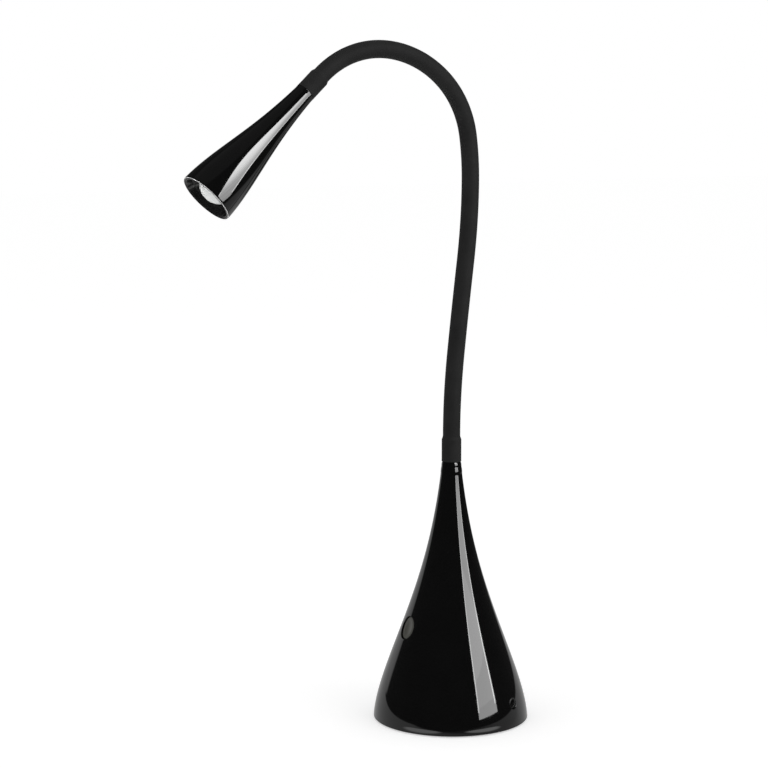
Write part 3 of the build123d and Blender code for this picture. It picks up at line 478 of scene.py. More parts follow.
def base_inner(z):
    """Radius of the base's cavity at height z."""
    return inner_radius(base_radius, z, BASE_WALL)


def head_inner(depth):
    """Radius of the head's cavity at a depth from the rim."""
    return inner_radius(head_radius, depth, HEAD_WALL)


def levels(start, stop, count):
    """Evenly spaced values from start to stop."""
    return [start + (stop - start) * i / count for i in range(count + 1)]


def circle(count):
    """Cosine and sine of evenly spaced angles."""
    return [(cos(2 * pi * i / count), sin(2 * pi * i / count)) for i in range(count)]


def ease(s):
    """A smooth step from 0 to 1."""
    return s * s * (3 - 2 * s)


def joined(*runs):
    """Runs of a closed outline: those given, and a straight one wherever two don't meet.

    A run of one point is a corner.
    """
    closed = []
    for run, following in zip(runs, runs[1:] + runs[:1]):
        if len(run) > 1:
            closed.append(run)
        if run[-1] != following[0]:
            closed.append([run[-1], following[0]])
    return closed


def arc(x, y, radius, start, stop, steps):
    """Points of an arc about (x, y); angles are in radians, from the radius's axis."""
    return [(x + radius * cos(a), y + radius * sin(a)) for a in levels(start, stop, steps)]


def rounded(corners, steps=4):
    """Runs of a closed outline whose corners are (radius, height, round): sharp where round is 0."""
    runs = []
    for i, (r, h, fillet) in enumerate(corners):
        if fillet <= 0:
            runs.append([(r, h)])
            continue
        here = Vector((r, h))
        to_before = (Vector(corners[i - 1][:2]) - here).normalized()
        to_after = (Vector(corners[(i + 1) % len(corners)][:2]) - here).normalized()
        half = to_before.angle(to_after) / 2
        centre = here + (to_before + to_after).normalized() * (fillet / sin(half))
        spoke = here + to_before * (fillet / tan(half)) - centre
        start = atan2(spoke.y, spoke.x)
        turn = copysign(pi - 2 * half, -to_before.cross(to_after))
        runs.append(arc(centre.x, centre.y, fillet, start, start + turn, steps))
    return joined(*runs)


# ---- meshes
def new_mesh():
    """An empty bmesh with a layer for exact corner normals."""
    mesh = bmesh.new()
    mesh.loops.layers.float_vector.new("exact")
    return mesh


def normal_layer(mesh):
    """The layer of exact corner normals."""
    return mesh.loops.layers.float_vector["exact"]


def weave(mesh, low, high):
    """Quads between two closed rows of (vertex, normal)."""
    layer = normal_layer(mesh)
    count = max(len(low), len(high))
    for i in range(count):
        j = (i + 1) % count
        ring = [low[i % len(low)], low[j % len(low)], high[j % len(high)], high[i % len(high)]]
        corners = []
        for vertex, normal in ring:
            if vertex not in [c[0] for c in corners]:
                corners.append((vertex, normal))
        if len(corners) < 3:
            continue
        face = mesh.faces.new([vertex for vertex, _ in corners])
        face.smooth = True
        for loop, (_, normal) in zip(face.loops, corners):
            loop[layer] = normal


def weave_rows(mesh, rows):
    """Quads between each row and the next."""
    for low, high in zip(rows, rows[1:]):
        weave(mesh, low, high)


def run_normals(run):
    """Normals of a smooth run of (radius, height), on the right of its direction."""
    chords = [Vector((b[0] - a[0], b[1] - a[1])) for a, b in zip(run, run[1:])]
    ways = [chord.normalized() for chord in chords]
    if len(chords) == 1:
        tangents = ways * 2
    else:
        bends = zip(chords, chords[1:], ways, ways[1:])
        inner = [way * after.length + next_way * before.length for before, after, way, next_way in bends]
        tangents = [ways[0] * 1.5 - ways[1] * 0.5, *inner, ways[-1] * 1.5 - ways[-2] * 0.5]
    return [(t.y, -t.x) for t in [tangent.normalized() for tangent in tangents]]


def lathe(mesh, runs, count, place):
    """Turn the runs of a closed outline about local Z. Runs meet at corners; inside a run all is smooth."""
    outline = [point for run in runs for point in run[:-1]] + [runs[-1][-1]]
    area = sum(a[0] * b[1] - b[0] * a[1] for a, b in zip(outline, outline[1:] + outline[:1]))
    if area < 0:
        runs = [run[::-1] for run in runs[::-1]]
    turns = circle(count)
    turn = place.to_3x3()
    rings = {}

    def vertices(point):
        key = (round(point[0], 5), round(point[1], 5))
        if key not in rings:
            r, h = point
            spots = [(0, 0, h)] if r < TINY else [(r * c, r * s, h) for c, s in turns]
            rings[key] = [mesh.verts.new(place @ Vector(spot)) for spot in spots]
        return rings[key]

    def row(point, normal):
        ring = vertices(point)
        return [
            (ring[i % len(ring)], turn @ Vector((normal[0] * c, normal[0] * s, normal[1])))
            for i, (c, s) in enumerate(turns)
        ]

    for run in runs:
        weave_rows(mesh, [row(point, normal) for point, normal in zip(run, run_normals(run))])


def to_object(mesh, name, slot):
    """Make the object, in metres, with its exact corner normals and the finish of its slot."""
    layer = normal_layer(mesh)
    exact = [tuple(loop[layer]) for face in mesh.faces for loop in face.loops]
    mesh.loops.layers.float_vector.remove(layer)
    data = bpy.data.meshes.new(name)
    mesh.to_mesh(data)
    mesh.free()
    data.transform(Matrix.Scale(MM, 4))
    data.normals_split_custom_set(exact)
    data.materials.append(materials[slot])
    piece = add_object(name, data)
    return piece


def turned(name, slot, runs, count, place=Matrix.Identity(4)):
    """A turned piece of one outline."""
    mesh = new_mesh()
    lathe(mesh, runs, count, place)
    return to_object(mesh, name, slot)


def boxed(name, slot, place, width, height, low, high):
    """A moulded block with bevelled edges, in a place's own frame."""
    mesh = new_mesh()
    made = bmesh.ops.create_cube(mesh, size=1.0)
    for vertex in made["verts"]:
        x, y, z = vertex.co
        vertex.co = Vector((x * width, y * height, (low + high) / 2 + z * (high - low)))
    bmesh.ops.bevel(mesh, geom=list(mesh.edges), offset=0.4, segments=3, profile=0.5, affect="EDGES")
    bmesh.ops.transform(mesh, matrix=place, verts=mesh.verts)
    mesh.normal_update()
    layer = normal_layer(mesh)
    for face in mesh.faces:
        face.smooth = False
        for loop in face.loops:
            loop[layer] = face.normal
    return to_object(mesh, name, slot)


def swept(name, slot, stations, count):
    """A closed tube through (centre, direction, side, outer radius, inner radius or 0 where it is solid)."""
    mesh = new_mesh()
    outer, inner = [], []
    for centre, along, side, wide, narrow in stations:
        up = side.cross(along)
        spokes = [side * c + up * s for c, s in circle(count)]
        outer.append([(mesh.verts.new(centre + spoke * wide), spoke) for spoke in spokes])
        if narrow:
            inner.append([(mesh.verts.new(centre + spoke * narrow), -spoke) for spoke in spokes])
    weave_rows(mesh, outer[::-1])
    weave_rows(mesh, inner)
    (first, first_way), (last, last_way) = stations[0][:2], stations[-1][:2]
    if not inner:
        inner = [[(mesh.verts.new(first), -first_way)], [(mesh.verts.new(last), last_way)]]
    for low, high, normal in ((outer[0], inner[0], -first_way), (inner[-1], outer[-1], last_way)):
        weave(mesh, [(v, normal) for v, _ in low], [(v, normal) for v, _ in high])
    bmesh.ops.recalc_face_normals(mesh, faces=mesh.faces)
    return to_object(mesh, name, slot)


def settle(piece, body, node):
    """Let a piece stand for a CAD node and ride on its body."""
    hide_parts(node)
    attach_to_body(piece, body)


def frame_at(origin, z_axis, x_axis):
    """A placing matrix from a point and two of its axes."""
    z = Vector(z_axis).normalized()
    x = Vector(x_axis).normalized()
    y = z.cross(x)
    turn = Matrix((x, y, z)).transposed().to_4x4()
    return Matrix.Translation(origin) @ turn


def level(angle):
    """Unit vector, level, at an angle round from +X."""
    return Vector((cos(radians(angle)), sin(radians(angle)), 0))


# ---- base shell
def skin_normal(point):
    """Normal of the base's outer skin at a point on it."""
    across = Vector((point.x, point.y, 0)).normalized()
    tilt = atan(-slope(base_radius, point.z))
    return across * cos(tilt) + Vector((0, 0, sin(tilt)))


def on_skin(place, x, y, radius):
    """The point of a skin of the base along an opening's axis, offset by x and y in its frame."""

    def inside(depth):
        point = place @ Vector((x, y, depth))
        return hypot(point.x, point.y) < radius(point.z)

    return place @ Vector((x, y, halved(*OPENING_REACH, inside, 40)[1]))


def button_place():
    """Frame of the button: its Z axis points out of the shell, square to the skin."""
    tilt = atan(-slope(base_radius, BUTTON_HEIGHT))
    out = level(BUTTON_ANGLE) * cos(tilt) + Vector((0, 0, sin(tilt)))
    centre = level(BUTTON_ANGLE) * base_radius(BUTTON_HEIGHT) + Vector((0, 0, BUTTON_HEIGHT))
    return frame_at(centre, out, level(BUTTON_ANGLE + 90))


def inlet_place():
    """Frame of the inlet: its Z axis points level out of the shell."""
    centre = level(INLET_ANGLE) * base_radius(INLET_HEIGHT) + Vector((0, 0, INLET_HEIGHT))
    return frame_at(centre, level(INLET_ANGLE), level(INLET_ANGLE + 90))


def collar_profile():
    """The skin's outline from the bell's last level, past the collar's soft shoulder, to its top."""
    z, r = COLLAR_SLOPES[0][0], base_radius(COLLAR_SLOPES[0][0])
    points = [(r, z)]
    for (low, first), (high, last) in zip(COLLAR_SLOPES, COLLAR_SLOPES[1:]):
        steps = max(2, round((high - low) / 0.2))
        step = (high - low) / steps
        for i in range(steps):
            tilt = first + (last - first) * (i + 0.5) / steps
            r += tilt * step
            z += step
            points.append((r, z))
    return points


def base_outline():
    """Closed outline of the base shell: rounded lower edge, skin, collar, bore and cavity."""
    collar = collar_profile()
    skin = [(base_radius(z), z) for z in levels(EDGE_LIFT + EDGE_ROUND, collar[0][1], 140)] + collar[1:]
    edge = arc(base_radius(EDGE_LIFT) - EDGE_ROUND, EDGE_LIFT + EDGE_ROUND, EDGE_ROUND, -pi / 2, 0, 7)
    edge[-1] = skin[0]
    cavity = [(base_inner(z), z) for z in levels(base_seat, EDGE_LIFT, 100)]
    steps = [
        (SKIRT_SEAT, skin[-1][1]), (SKIRT_SEAT, collar_top), (STUD_HOLE, collar_top), (STUD_HOLE, base_seat),
    ]
    return joined(edge, skin, *[[corner] for corner in steps], cavity)


def is_outer(edge):
    """Whether an edge lies on the base's outer skin, and not on its inner one."""
    middle = (edge.verts[0].co + edge.verts[1].co) / 2
    return hypot(middle.x, middle.y) > base_radius(middle.z) - BASE_WALL / 2


def clear_skin(mesh, place, reach):
    """Delete the faces round an opening, and give back the edges left on the outer and the inner skin."""
    back = place.inverted()
    inside = []
    for face in mesh.faces:
        spots = [back @ vertex.co for vertex in face.verts]
        if any(hypot(spot.x, spot.y) < reach and abs(spot.z) < -OPENING_REACH[0] for spot in spots):
            inside.append(face)
    loose = {vertex for face in inside for vertex in face.verts}
    bmesh.ops.delete(mesh, geom=inside, context="FACES")
    borders = [e for e in {e for v in loose if v.is_valid for e in v.link_edges} if len(e.link_faces) == 1]
    return [e for e in borders if is_outer(e)], [e for e in borders if not is_outer(e)]


def opening_rows(place, hole, lip, turns):
    """Rows of (point, normal) of an opening: its rounded lip, then the inner end of its bore."""
    turn = place.to_3x3()
    axis = turn @ Vector((0, 0, 1))
    rows = []
    for a in levels(0, pi / 2, 5):
        row = []
        for c, s in turns:
            skin = on_skin(place, c * (hole + lip), s * (hole + lip), base_radius)
            outward = turn @ Vector((c, s, 0))
            spot = skin - outward * (lip * sin(a)) - axis * (lip * (1 - cos(a)))
            normal = (skin_normal(skin) * cos(a) - outward * sin(a)).normalized()
            row.append((spot, normal))
        rows.append(row)
    bore = [on_skin(place, c * hole, s * hole, base_inner) for c, s in turns]
    rows.append([(spot, turn @ Vector((-c, -s, 0))) for spot, (c, s) in zip(bore, turns)])
    return rows


def open_skin(mesh, place, hole, lip, spokes):
    """Cut a round opening through both skins, with a rounded lip outside."""
    margin = 1.3
    outer_border, inner_border = clear_skin(mesh, place, hole + lip + margin)
    rows = [
        [(mesh.verts.new(spot), normal) for spot, normal in row]
        for row in opening_rows(place, hole, lip, circle(spokes))
    ]
    weave_rows(mesh, rows)
    axis = place.to_3x3() @ Vector((0, 0, 1))
    layer = normal_layer(mesh)
    for border, row, side in ((outer_border, rows[0], 1), (inner_border, rows[-1], -1)):
        ring = [v for v, _ in row]
        edges = border + [mesh.edges.get((a, b)) for a, b in zip(ring, ring[1:] + ring[:1])]
        made = bmesh.ops.triangle_fill(mesh, use_beauty=True, use_dissolve=False, edges=edges, normal=axis)
        for face in [f for f in made["geom"] if isinstance(f, bmesh.types.BMFace)]:
            face.smooth = True
            face.normal_update()
            if face.normal.dot(skin_normal(face.calc_center_median())) * side < 0:
                face.normal_flip()
            for loop in face.loops:
                loop[layer] = skin_normal(loop.vert.co) * side


def make_base():
    """The glossy base shell with its openings, on the base."""
    mesh = new_mesh()
    lathe(mesh, base_outline(), 288, Matrix.Identity(4))
    open_skin(mesh, button_place(), BUTTON_HOLE, BUTTON_LIP, 96)
    open_skin(mesh, inlet_place(), INLET_HOLE, INLET_LIP, 64)
    settle(to_object(mesh, "base_bell", "gloss_black"), "base", "base_shell")


def make_foot():
    """Rubber pad under the plate, with two shallow grooves in its face."""
    outer = base_inner(PLATE_BOTTOM) - PLATE_GAP - FOOT_INSET
    corners = [(0, 0, 0)]
    for start in (FOOT_GROOVES[0], outer - FOOT_GROOVES[1]):
        stop = start + FOOT_GROOVE_WIDTH
        corners += [(start, 0, 0), (start, FOOT_GROOVE_DEPTH, 0), (stop, FOOT_GROOVE_DEPTH, 0), (stop, 0, 0)]
    corners += [(outer, 0, FOOT_ROUND), (outer, PLATE_BOTTOM, 0), (0, PLATE_BOTTOM, 0)]
    settle(turned("foot_pad_rubber", "foot_rubber", rounded(corners), 192), "base", "foot_pad")


# ---- button and inlet
def cap_height(place, x, y):
    """Height of the button's face in its frame: a border that follows the shell, and the dish in it."""
    skin = (place.inverted() @ on_skin(place, x, y, base_radius)).z - BUTTON_RECESS
    rest = BUTTON_DISH_RADIUS - BUTTON_RECESS - BUTTON_DISH_DEPTH
    dish = rest - sqrt(BUTTON_DISH_RADIUS**2 - x * x - y * y)
    blend = max(CAP_SOFTNESS - abs(skin - dish), 0) / CAP_SOFTNESS
    return min(skin, dish) - blend * blend * CAP_SOFTNESS / 4


def cap_normal(place, x, y):
    """Normal of the button's face, in its frame."""
    step = 0.05
    across = (cap_height(place, x + step, y) - cap_height(place, x - step, y)) / (2 * step)
    along = (cap_height(place, x, y + step) - cap_height(place, x, y - step)) / (2 * step)
    return Vector((-across, -along, 1)).normalized()


def cap_face(place, turns):
    """Rows of (point, normal), in the button's frame, from its middle to the end of its rounded edge."""
    reach = BUTTON_RADIUS - CAP_EDGE
    rows = [[(Vector((0, 0, cap_height(place, 0, 0))), cap_normal(place, 0, 0))]]
    for r in levels(0, reach, 28)[1:]:
        spots = [(r * c, r * s) for c, s in turns]
        rows.append([(Vector((x, y, cap_height(place, x, y))), cap_normal(place, x, y)) for x, y in spots])
    border = rows[-1]
    for a in levels(0, pi / 2, 5)[1:]:
        row = []
        for (c, s), (spot, normal) in zip(turns, border):
            r = reach + CAP_EDGE * sin(a)
            edge = (normal * cos(a) + Vector((c, s, 0)) * sin(a)).normalized()
            row.append((Vector((r * c, r * s, spot.z - CAP_EDGE * (1 - cos(a)))), edge))
        rows.append(row)
    return rows


def make_button():
    """Dished cap that follows the shell's skin at its sides, with its flange and stem."""
    place = button_place()
    turn = place.to_3x3()
    turns = circle(96)
    mesh = new_mesh()
    face = cap_face(place, turns)
    rows = [[(mesh.verts.new(place @ spot), turn @ normal) for spot, normal in row] for row in face]
    flat = Vector((0, 0, 0))
    rim = len(rows) - 1
    lower = [
        (BUTTON_RADIUS, FLANGE_TOP), (FLANGE_RADIUS, FLANGE_TOP), (FLANGE_RADIUS, FLANGE_BOTTOM),
        (CAP_HOLLOW, FLANGE_BOTTOM), (CAP_HOLLOW, BUTTON_CROWN), (STEM_RADIUS, BUTTON_CROWN),
        (STEM_RADIUS, STEM_END),
    ]
    for r, depth in lower:
        rows.append([(mesh.verts.new(place @ Vector((r * c, r * s, -depth))), flat) for c, s in turns])
    rows.append([(mesh.verts.new(place @ Vector((0, 0, -STEM_END))), flat)])
    for k, (low, high) in enumerate(zip(rows, rows[1:])):
        if k >= rim:
            low = [(vertex, flat) for vertex, _ in low]
        weave(mesh, high, low)
        if k > rim:
            for (a, _), (b, _) in zip(low, low[1:] + low[:1]):
                mesh.edges.get((a, b)).smooth = False
    settle(to_object(mesh, "button_cap", "button_grey"), "button", "switch_cap")


def make_spring():
    """Return spring of the button, on the base."""
    place = button_place()
    turn = place.to_3x3()
    bottom = -GUIDE_TOP + SPRING_WIRE
    top = -BUTTON_CROWN - SPRING_WIRE
    per_turn = 28
    pitch = (top - bottom) / SPRING_TURNS
    stations = []
    for i in range(per_turn * SPRING_TURNS + 1):
        c, s = cos(2 * pi * i / per_turn), sin(2 * pi * i / per_turn)
        centre = place @ Vector((SPRING_RADIUS * c, SPRING_RADIUS * s, bottom + pitch * i / per_turn))
        along = turn @ Vector((-SPRING_RADIUS * s, SPRING_RADIUS * c, pitch / (2 * pi))).normalized()
        stations.append((centre, along, turn @ Vector((c, s, 0)), SPRING_WIRE, 0))
    spring = swept("button_spring", "spring_steel", stations, 10)
    settle(spring, "base", "switch_spring")
    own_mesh(spring)


def make_inlet():
    """The inlet: a rounded barrel in its opening, and the moulded housing behind it."""
    place = inlet_place()
    corner = base_inner(INLET_HEIGHT + INLET_BODY_HEIGHT / 2) - ASSEMBLY_GAP
    front = base_radius(INLET_HEIGHT) - sqrt(corner**2 - (INLET_WIDTH / 2) ** 2) + ASSEMBLY_GAP
    barrel_end = -front - BARREL_OVERLAP
    bottom = -INLET_RECESS - INLET_BORE_DEPTH
    floor = bottom - 0.5
    wall = INLET_BORE + 0.2
    corners = [
        (0, bottom, 0), (INLET_BORE, bottom, 0), (INLET_BORE, -INLET_RECESS, 0.3),
        (INLET_BARREL, -INLET_RECESS, 0.4), (INLET_BARREL, barrel_end, 0), (wall, barrel_end, 0),
        (wall, floor, 0), (0, floor, 0),
    ]
    barrel = turned("inlet_barrel", "component_black", rounded(corners), 96, place)
    settle(barrel, "base", "dc_inlet")
    size = (INLET_WIDTH, INLET_BODY_HEIGHT, -front - INLET_BODY_LENGTH, -front)
    settle(boxed("inlet_housing", "component_black", place, *size), "base", "dc_inlet")


# ---- neck
def make_cuff(name, place, body, skirt=0.0):
    """Soft cuff over a ferrule, with a small bead at its end and a soft step to the sleeve.

    skirt is how far its end laps over the collar below.
    """
    ferrule = CUFF_RADIUS - SLEEVE_WALL
    inner = SLEEVE_RADIUS - SLEEVE_WALL
    step_start = CUFF_LENGTH - CUFF_STEP
    bead_middle = CUFF_RADIUS + CUFF_BEAD - CUFF_END_ROUND
    outer = arc(bead_middle, CUFF_END_ROUND - skirt, CUFF_END_ROUND, -pi / 2, 0, 4)
    for s in levels(0, 1, 6)[1:]:
        outer.append((CUFF_RADIUS + CUFF_BEAD * (1 - ease(s)), CUFF_END_ROUND + CUFF_BEAD_LENGTH * s - skirt))
    outer.append((CUFF_RADIUS, step_start - 1.0))
    for s in levels(0, 1, 14):
        radius = CUFF_RADIUS + (SLEEVE_RADIUS - CUFF_RADIUS) * ease(s)
        outer.append((radius, CUFF_LENGTH - CUFF_EASE * (1 - s)))
    lap = SKIRT_SEAT + SKIRT_GAP
    corners = [(inner, CUFF_LENGTH), (ferrule, step_start), (ferrule, 0)]
    if skirt:
        corners += [(lap, 0), (lap, -skirt)]
    settle(turned(name, "silicone", joined(outer, *[[c] for c in corners]), 96, place), body, "neck_sleeve")


class NeckLine:
    """The smooth line of the neck, by a number u that grows by 1 per hinge; hinge k lies at u = k + 0.5."""

    def __init__(self):
        places = [Vector(joint["pos_m"]) / MM for joint in frame["joints"] if joint["type"] == "hinge"]
        self.hinges = sorted(places, key=lambda p: p.z - p.x)
        self.end = head_back - head_axis * CUFF_LENGTH
        inner = [(a + b) / 2 for a, b in zip(self.hinges, self.hinges[1:])]
        self.mids = [Vector((0, 0, neck_start)), *inner, self.end]
        self.pitch = (self.hinges[1] - self.hinges[0]).length

    def at(self, u):
        """Point and direction of the line; it runs on straight past both ends."""
        if u < 0:
            up = Vector((0, 0, 1))
            return self.mids[0] + up * (u * self.pitch), up
        if u > HINGE_COUNT:
            along = (self.end - self.hinges[-1]).normalized()
            return self.end + along * ((u - HINGE_COUNT) * self.pitch), along
        k = min(int(u), HINGE_COUNT - 1)
        s = u - k
        start, hinge, stop = self.mids[k], self.hinges[k], self.mids[k + 1]
        centre = start * (1 - s) ** 2 + hinge * (2 * s * (1 - s)) + stop * s * s
        enter = (hinge - start).normalized()
        leave = (stop - hinge).normalized()
        return centre, (enter * (1 - s) + leave * s).normalized()


def neck_spans():
    """How the neck's soft pieces are cut: (first hinge, last hinge, body, second body or None).

    One that holds a sideways hinge spans it and names both links.
    """
    spans = [(None, 0, "base", None)]
    for k in range(0, SIDE_HINGES * 2, 2):
        spans.append((k, k + 2, f"link_{k + 1:02d}", f"link_{k + 2:02d}"))
    for k in range(SIDE_HINGES * 2, HINGE_COUNT - 1):
        spans.append((k, k + 1, f"link_{k + 1:02d}", None))
    spans.append((HINGE_COUNT - 1, None, "head", None))
    return spans


def span_stations(line, span, lap, ends, wide, narrow):
    """Stations of one piece: its ends lap those of its neighbours at the hinges, just inside at its start."""
    first, last = span[:2]
    reach = lap / line.pitch
    start = ends[0] if first is None else first + 0.5 - reach
    stop = ends[1] if last is None else last + 0.5 + reach
    rings = []
    if first is not None:
        shoulder = first + 0.5 + reach + LAP_SHOULDER
        inside = narrow + LAP_TUCK if narrow else 0
        rings = [(u, wide - LAP_TUCK, inside) for u in levels(start, shoulder, 3)]
        start = shoulder + LAP_SHOULDER
    count = max(2, round((stop - start) * RINGS_PER_HINGE))
    rings += [(u, wide, narrow) for u in levels(start, stop, count)]
    return [(*line.at(u), Vector((0, 1, 0)), outer, inner) for u, outer, inner in rings]


def attach(piece, node, span):
    """Let a piece of the neck move with its body; one that holds a hinge in its middle is baked and stays in
    place.
    """
    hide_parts(node)
    first, _, body, second = span
    if second is None:
        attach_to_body(piece, body)
    else:
        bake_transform(piece)


def make_neck():
    """The silicone sleeve between the cuffs and the lead inside it, in pieces that follow the links."""
    line = NeckLine()
    stud = STUD_SPARE + NUT_THICKNESS + WASHER_THICKNESS
    lead_low = (base_seat - stud - neck_start) / line.pitch
    lead_high = HINGE_COUNT + (CUFF_LENGTH + head_length - head_seat + stud) / line.pitch
    inner = SLEEVE_RADIUS - SLEEVE_WALL
    for number, span in enumerate(neck_spans(), 1):
        stations = span_stations(line, span, SLEEVE_LAP, (0, HINGE_COUNT), SLEEVE_RADIUS, inner)
        attach(swept(f"sleeve_{number:02d}", "silicone", stations, 64), "neck_sleeve", span)
        stations = span_stations(line, span, LEAD_LAP, (lead_low, lead_high), LEAD_RADIUS, 0)
        attach(swept(f"neck_lead_{number:02d}", "lead_black", stations, 20), "neck_lead", span)


# ---- head
def rim_place():
    """Frame of the head with Z counted inwards from the rim."""
    return frame_at(head_back + head_axis * head_length, -head_axis, (0, 1, 0))


def rolled_radius(depth):
    """Outer radius of the head near its rim, where the skin rolls in."""
    return head_radius(depth) - LIP_ROLL * (max(LIP_LENGTH - depth, 0) / lip_span) ** 2


def lip_arc(radius, start, stop):
    """Arc about the centre of the rim's outer edge; its angle is counted from the rim's face."""
    across = rolled_radius(RIM_ROUND) - RIM_ROUND * cos(roll_end)
    depth = RIM_ROUND + RIM_ROUND * sin(roll_end)
    return arc(across, depth, radius, start - pi / 2, stop - pi / 2, 6)


def head_outline():
    """Closed outline of the head shell: lip, the groove for the painted highlight band, skin, tail, cavity,
    ledge and inner lip.
    """
    ledge_end = LEDGE_DEPTH + LEDGE_THICKNESS
    ledge_inner = head_inner(LEDGE_DEPTH) - LEDGE_WIDTH
    outer_lip = lip_arc(RIM_ROUND, 0, painted_highlight_start)
    groove = lip_arc(RIM_ROUND - PAINTED_HIGHLIGHT_DEPTH, painted_highlight_start, painted_highlight_stop)
    face_depth = outer_lip[0][1]
    mouth = head_inner(0) + RIM_ROUND
    inner_lip = arc(mouth, face_depth + RIM_ROUND, RIM_ROUND, pi, pi * 1.5, 7)
    roll_stop = LIP_LENGTH + 0.1
    skin = [(rolled_radius(t), t) for t in levels(RIM_ROUND, roll_stop, 12)]
    skin += [(head_radius(t), t) for t in levels(roll_stop, HEAD_BELL, 130)[1:]]
    tail = arc(COLLAR_RADIUS - TAIL_ROUND, head_length - TAIL_ROUND, TAIL_ROUND, 0, pi / 2, 4)
    rear = [(head_inner(t), t) for t in levels(ledge_end, head_seat, 60)]
    front = [(head_inner(t), t) for t in levels(RIM_ROUND + face_depth, LEDGE_DEPTH, 30)]
    inner_lip[0] = front[0]
    bore = [[(STUD_HOLE, head_length)], [(STUD_HOLE, head_seat)]]
    ledge = [[(ledge_inner, ledge_end)], [(ledge_inner, LEDGE_DEPTH)]]
    return joined(outer_lip, groove, skin, tail, *bore, rear[::-1], *ledge, front[::-1], inner_lip)


def make_head():
    """The glossy head shell, and a pale band let into its rim as a painted highlight, on the head."""
    settle(turned("head_bell", "gloss_black", head_outline(), 224, rim_place()), "head", "head_shell")
    # pale band on the rim's edge: a painted highlight of the glossy edge, not a part of the lamp
    face = lip_arc(RIM_ROUND + PAINTED_HIGHLIGHT_PROUD, painted_highlight_start, painted_highlight_stop)
    bed = lip_arc(RIM_ROUND - PAINTED_HIGHLIGHT_DEPTH + PAINTED_HIGHLIGHT_PROUD, painted_highlight_start, painted_highlight_stop)
    painted_highlight_band = turned("head_rim_painted_highlight", "board_aluminium", joined(face, bed[::-1]), 224, rim_place())
    settle(painted_highlight_band, "head", "head_shell")


def make_mouth_ring():
    """Black ring in the mouth: a cone, a step, the lens's seat and the skirt."""
    front = head_inner(RING_START) - ASSEMBLY_GAP
    skirt = head_inner(LEDGE_DEPTH) - ASSEMBLY_GAP
    skirt_end = LEDGE_DEPTH - RING_SEAT
    inside = skirt - RING_SKIRT_WALL
    corners = [
        (front - 0.5, RING_START, 0.15), (front, RING_START, 0.1), (skirt, skirt_end, 0),
        (inside, skirt_end, 0), (inside, LENS_FLANGE_BACK, 0), (RING_SEAT_RADIUS, LENS_FLANGE_BACK, 0),
        (RING_SEAT_RADIUS, LENS_FLANGE_FRONT, 0), (RING_INNER_RADIUS, LENS_FLANGE_FRONT, 0.15),
        (RING_STEP_INNER, RING_STEP_DEPTH, 0.2), (RING_STEP_RADIUS, RING_STEP_DEPTH, 0.3),
    ]
    ring = turned("mouth_ring_black", "gloss_black", rounded(corners), 160, rim_place())
    ring.data.materials[0] = materials["satin_black"]
    settle(ring, "head", "mouth_ring")


def dome(radius, depth_stop, count):
    """Arc of the lens from its middle out to a depth."""
    centre = LENS_FRONT + LENS_DOME
    stop = acos((centre - depth_stop) / radius)
    return arc(0, centre, radius, -pi / 2, stop - pi / 2, count)


def make_lens():
    """Domed lens with a bead at its foot and its flange behind the ring."""
    front = dome(LENS_DOME, LENS_FLANGE_FRONT - LENS_DOME_STOP, 26)
    back = dome(LENS_DOME_INNER, LENS_FLANGE_BACK, 22)
    across, depth = front[-1][0] + LENS_BEAD_PLACE[0], LENS_FLANGE_FRONT - LENS_BEAD_PLACE[1]
    bead = arc(across, depth, LENS_BEAD, *LENS_BEAD_ARC, 8)
    edge = LENS_FLANGE
    flange = [(across - 0.1, LENS_FLANGE_FRONT), (edge, LENS_FLANGE_FRONT), (edge, LENS_FLANGE_BACK)]
    runs = joined(front, bead, *[[corner] for corner in flange], back[::-1])
    settle(turned("lens_dome", "frosted_lens", runs, 128, rim_place()), "head", "lens")


# ---- finishes of the carried-over pieces
NODE_SLOTS = {
    "plate_steel": ("base_plate",),
    "cast_iron": ("ballast_weight",),
    "screw_steel": (
        "plate_screws", "ballast_screws", "board_screws", "switch_screws", "led_screws", "lower_washer",
        "upper_washer",
    ),
    "core_steel": tuple(f"neck_link_{k:02d}" for k in range(1, HINGE_COUNT)),
    "circuit_board": ("driver_board", "switch_board"),
    "component_black": ("driver_components", "tact_switch"),
    "inner_plastic": ("switch_guide",),
    "plated_brass": ("dc_inlet_pin", "lower_ferrule", "upper_ferrule", "lower_nut", "upper_nut"),
    "white_plastic": ("lens_spacer",),
    "board_aluminium": ("led_board",),
    "led_yellow": ("led",),
    "sink_aluminium": ("heat_sink",),
    "lead_black": ("base_lead", "switch_lead", "head_lead"),
}


def dress_nodes():
    """Give each carried-over CAD node its finish."""
    for slot, names in NODE_SLOTS.items():
        for name in names:
            node = frame["nodes"][name]
            for holder in node.material_slots:
                holder.material = materials[slot]


# ---- studio
def backdrop_share(graph, direction):
    """1 towards the backdrop, which stands behind the lamp, and 0 elsewhere, by level direction."""
    unit = graph.vector("NORMALIZE", graph.vector("MULTIPLY", direction, (1, 1, 0)))
    middle = radians(BACKDROP_MIDDLE)
    nearness = graph.vector("DOT_PRODUCT", unit, (sin(middle), cos(middle), 0))
    edge = cos(radians(BACKDROP_HALF))
    inner = cos(radians(BACKDROP_HALF - BACKDROP_EDGE))
    return graph.ramp(nearness, edge, inner, 0.0, 1.0, smooth=True)


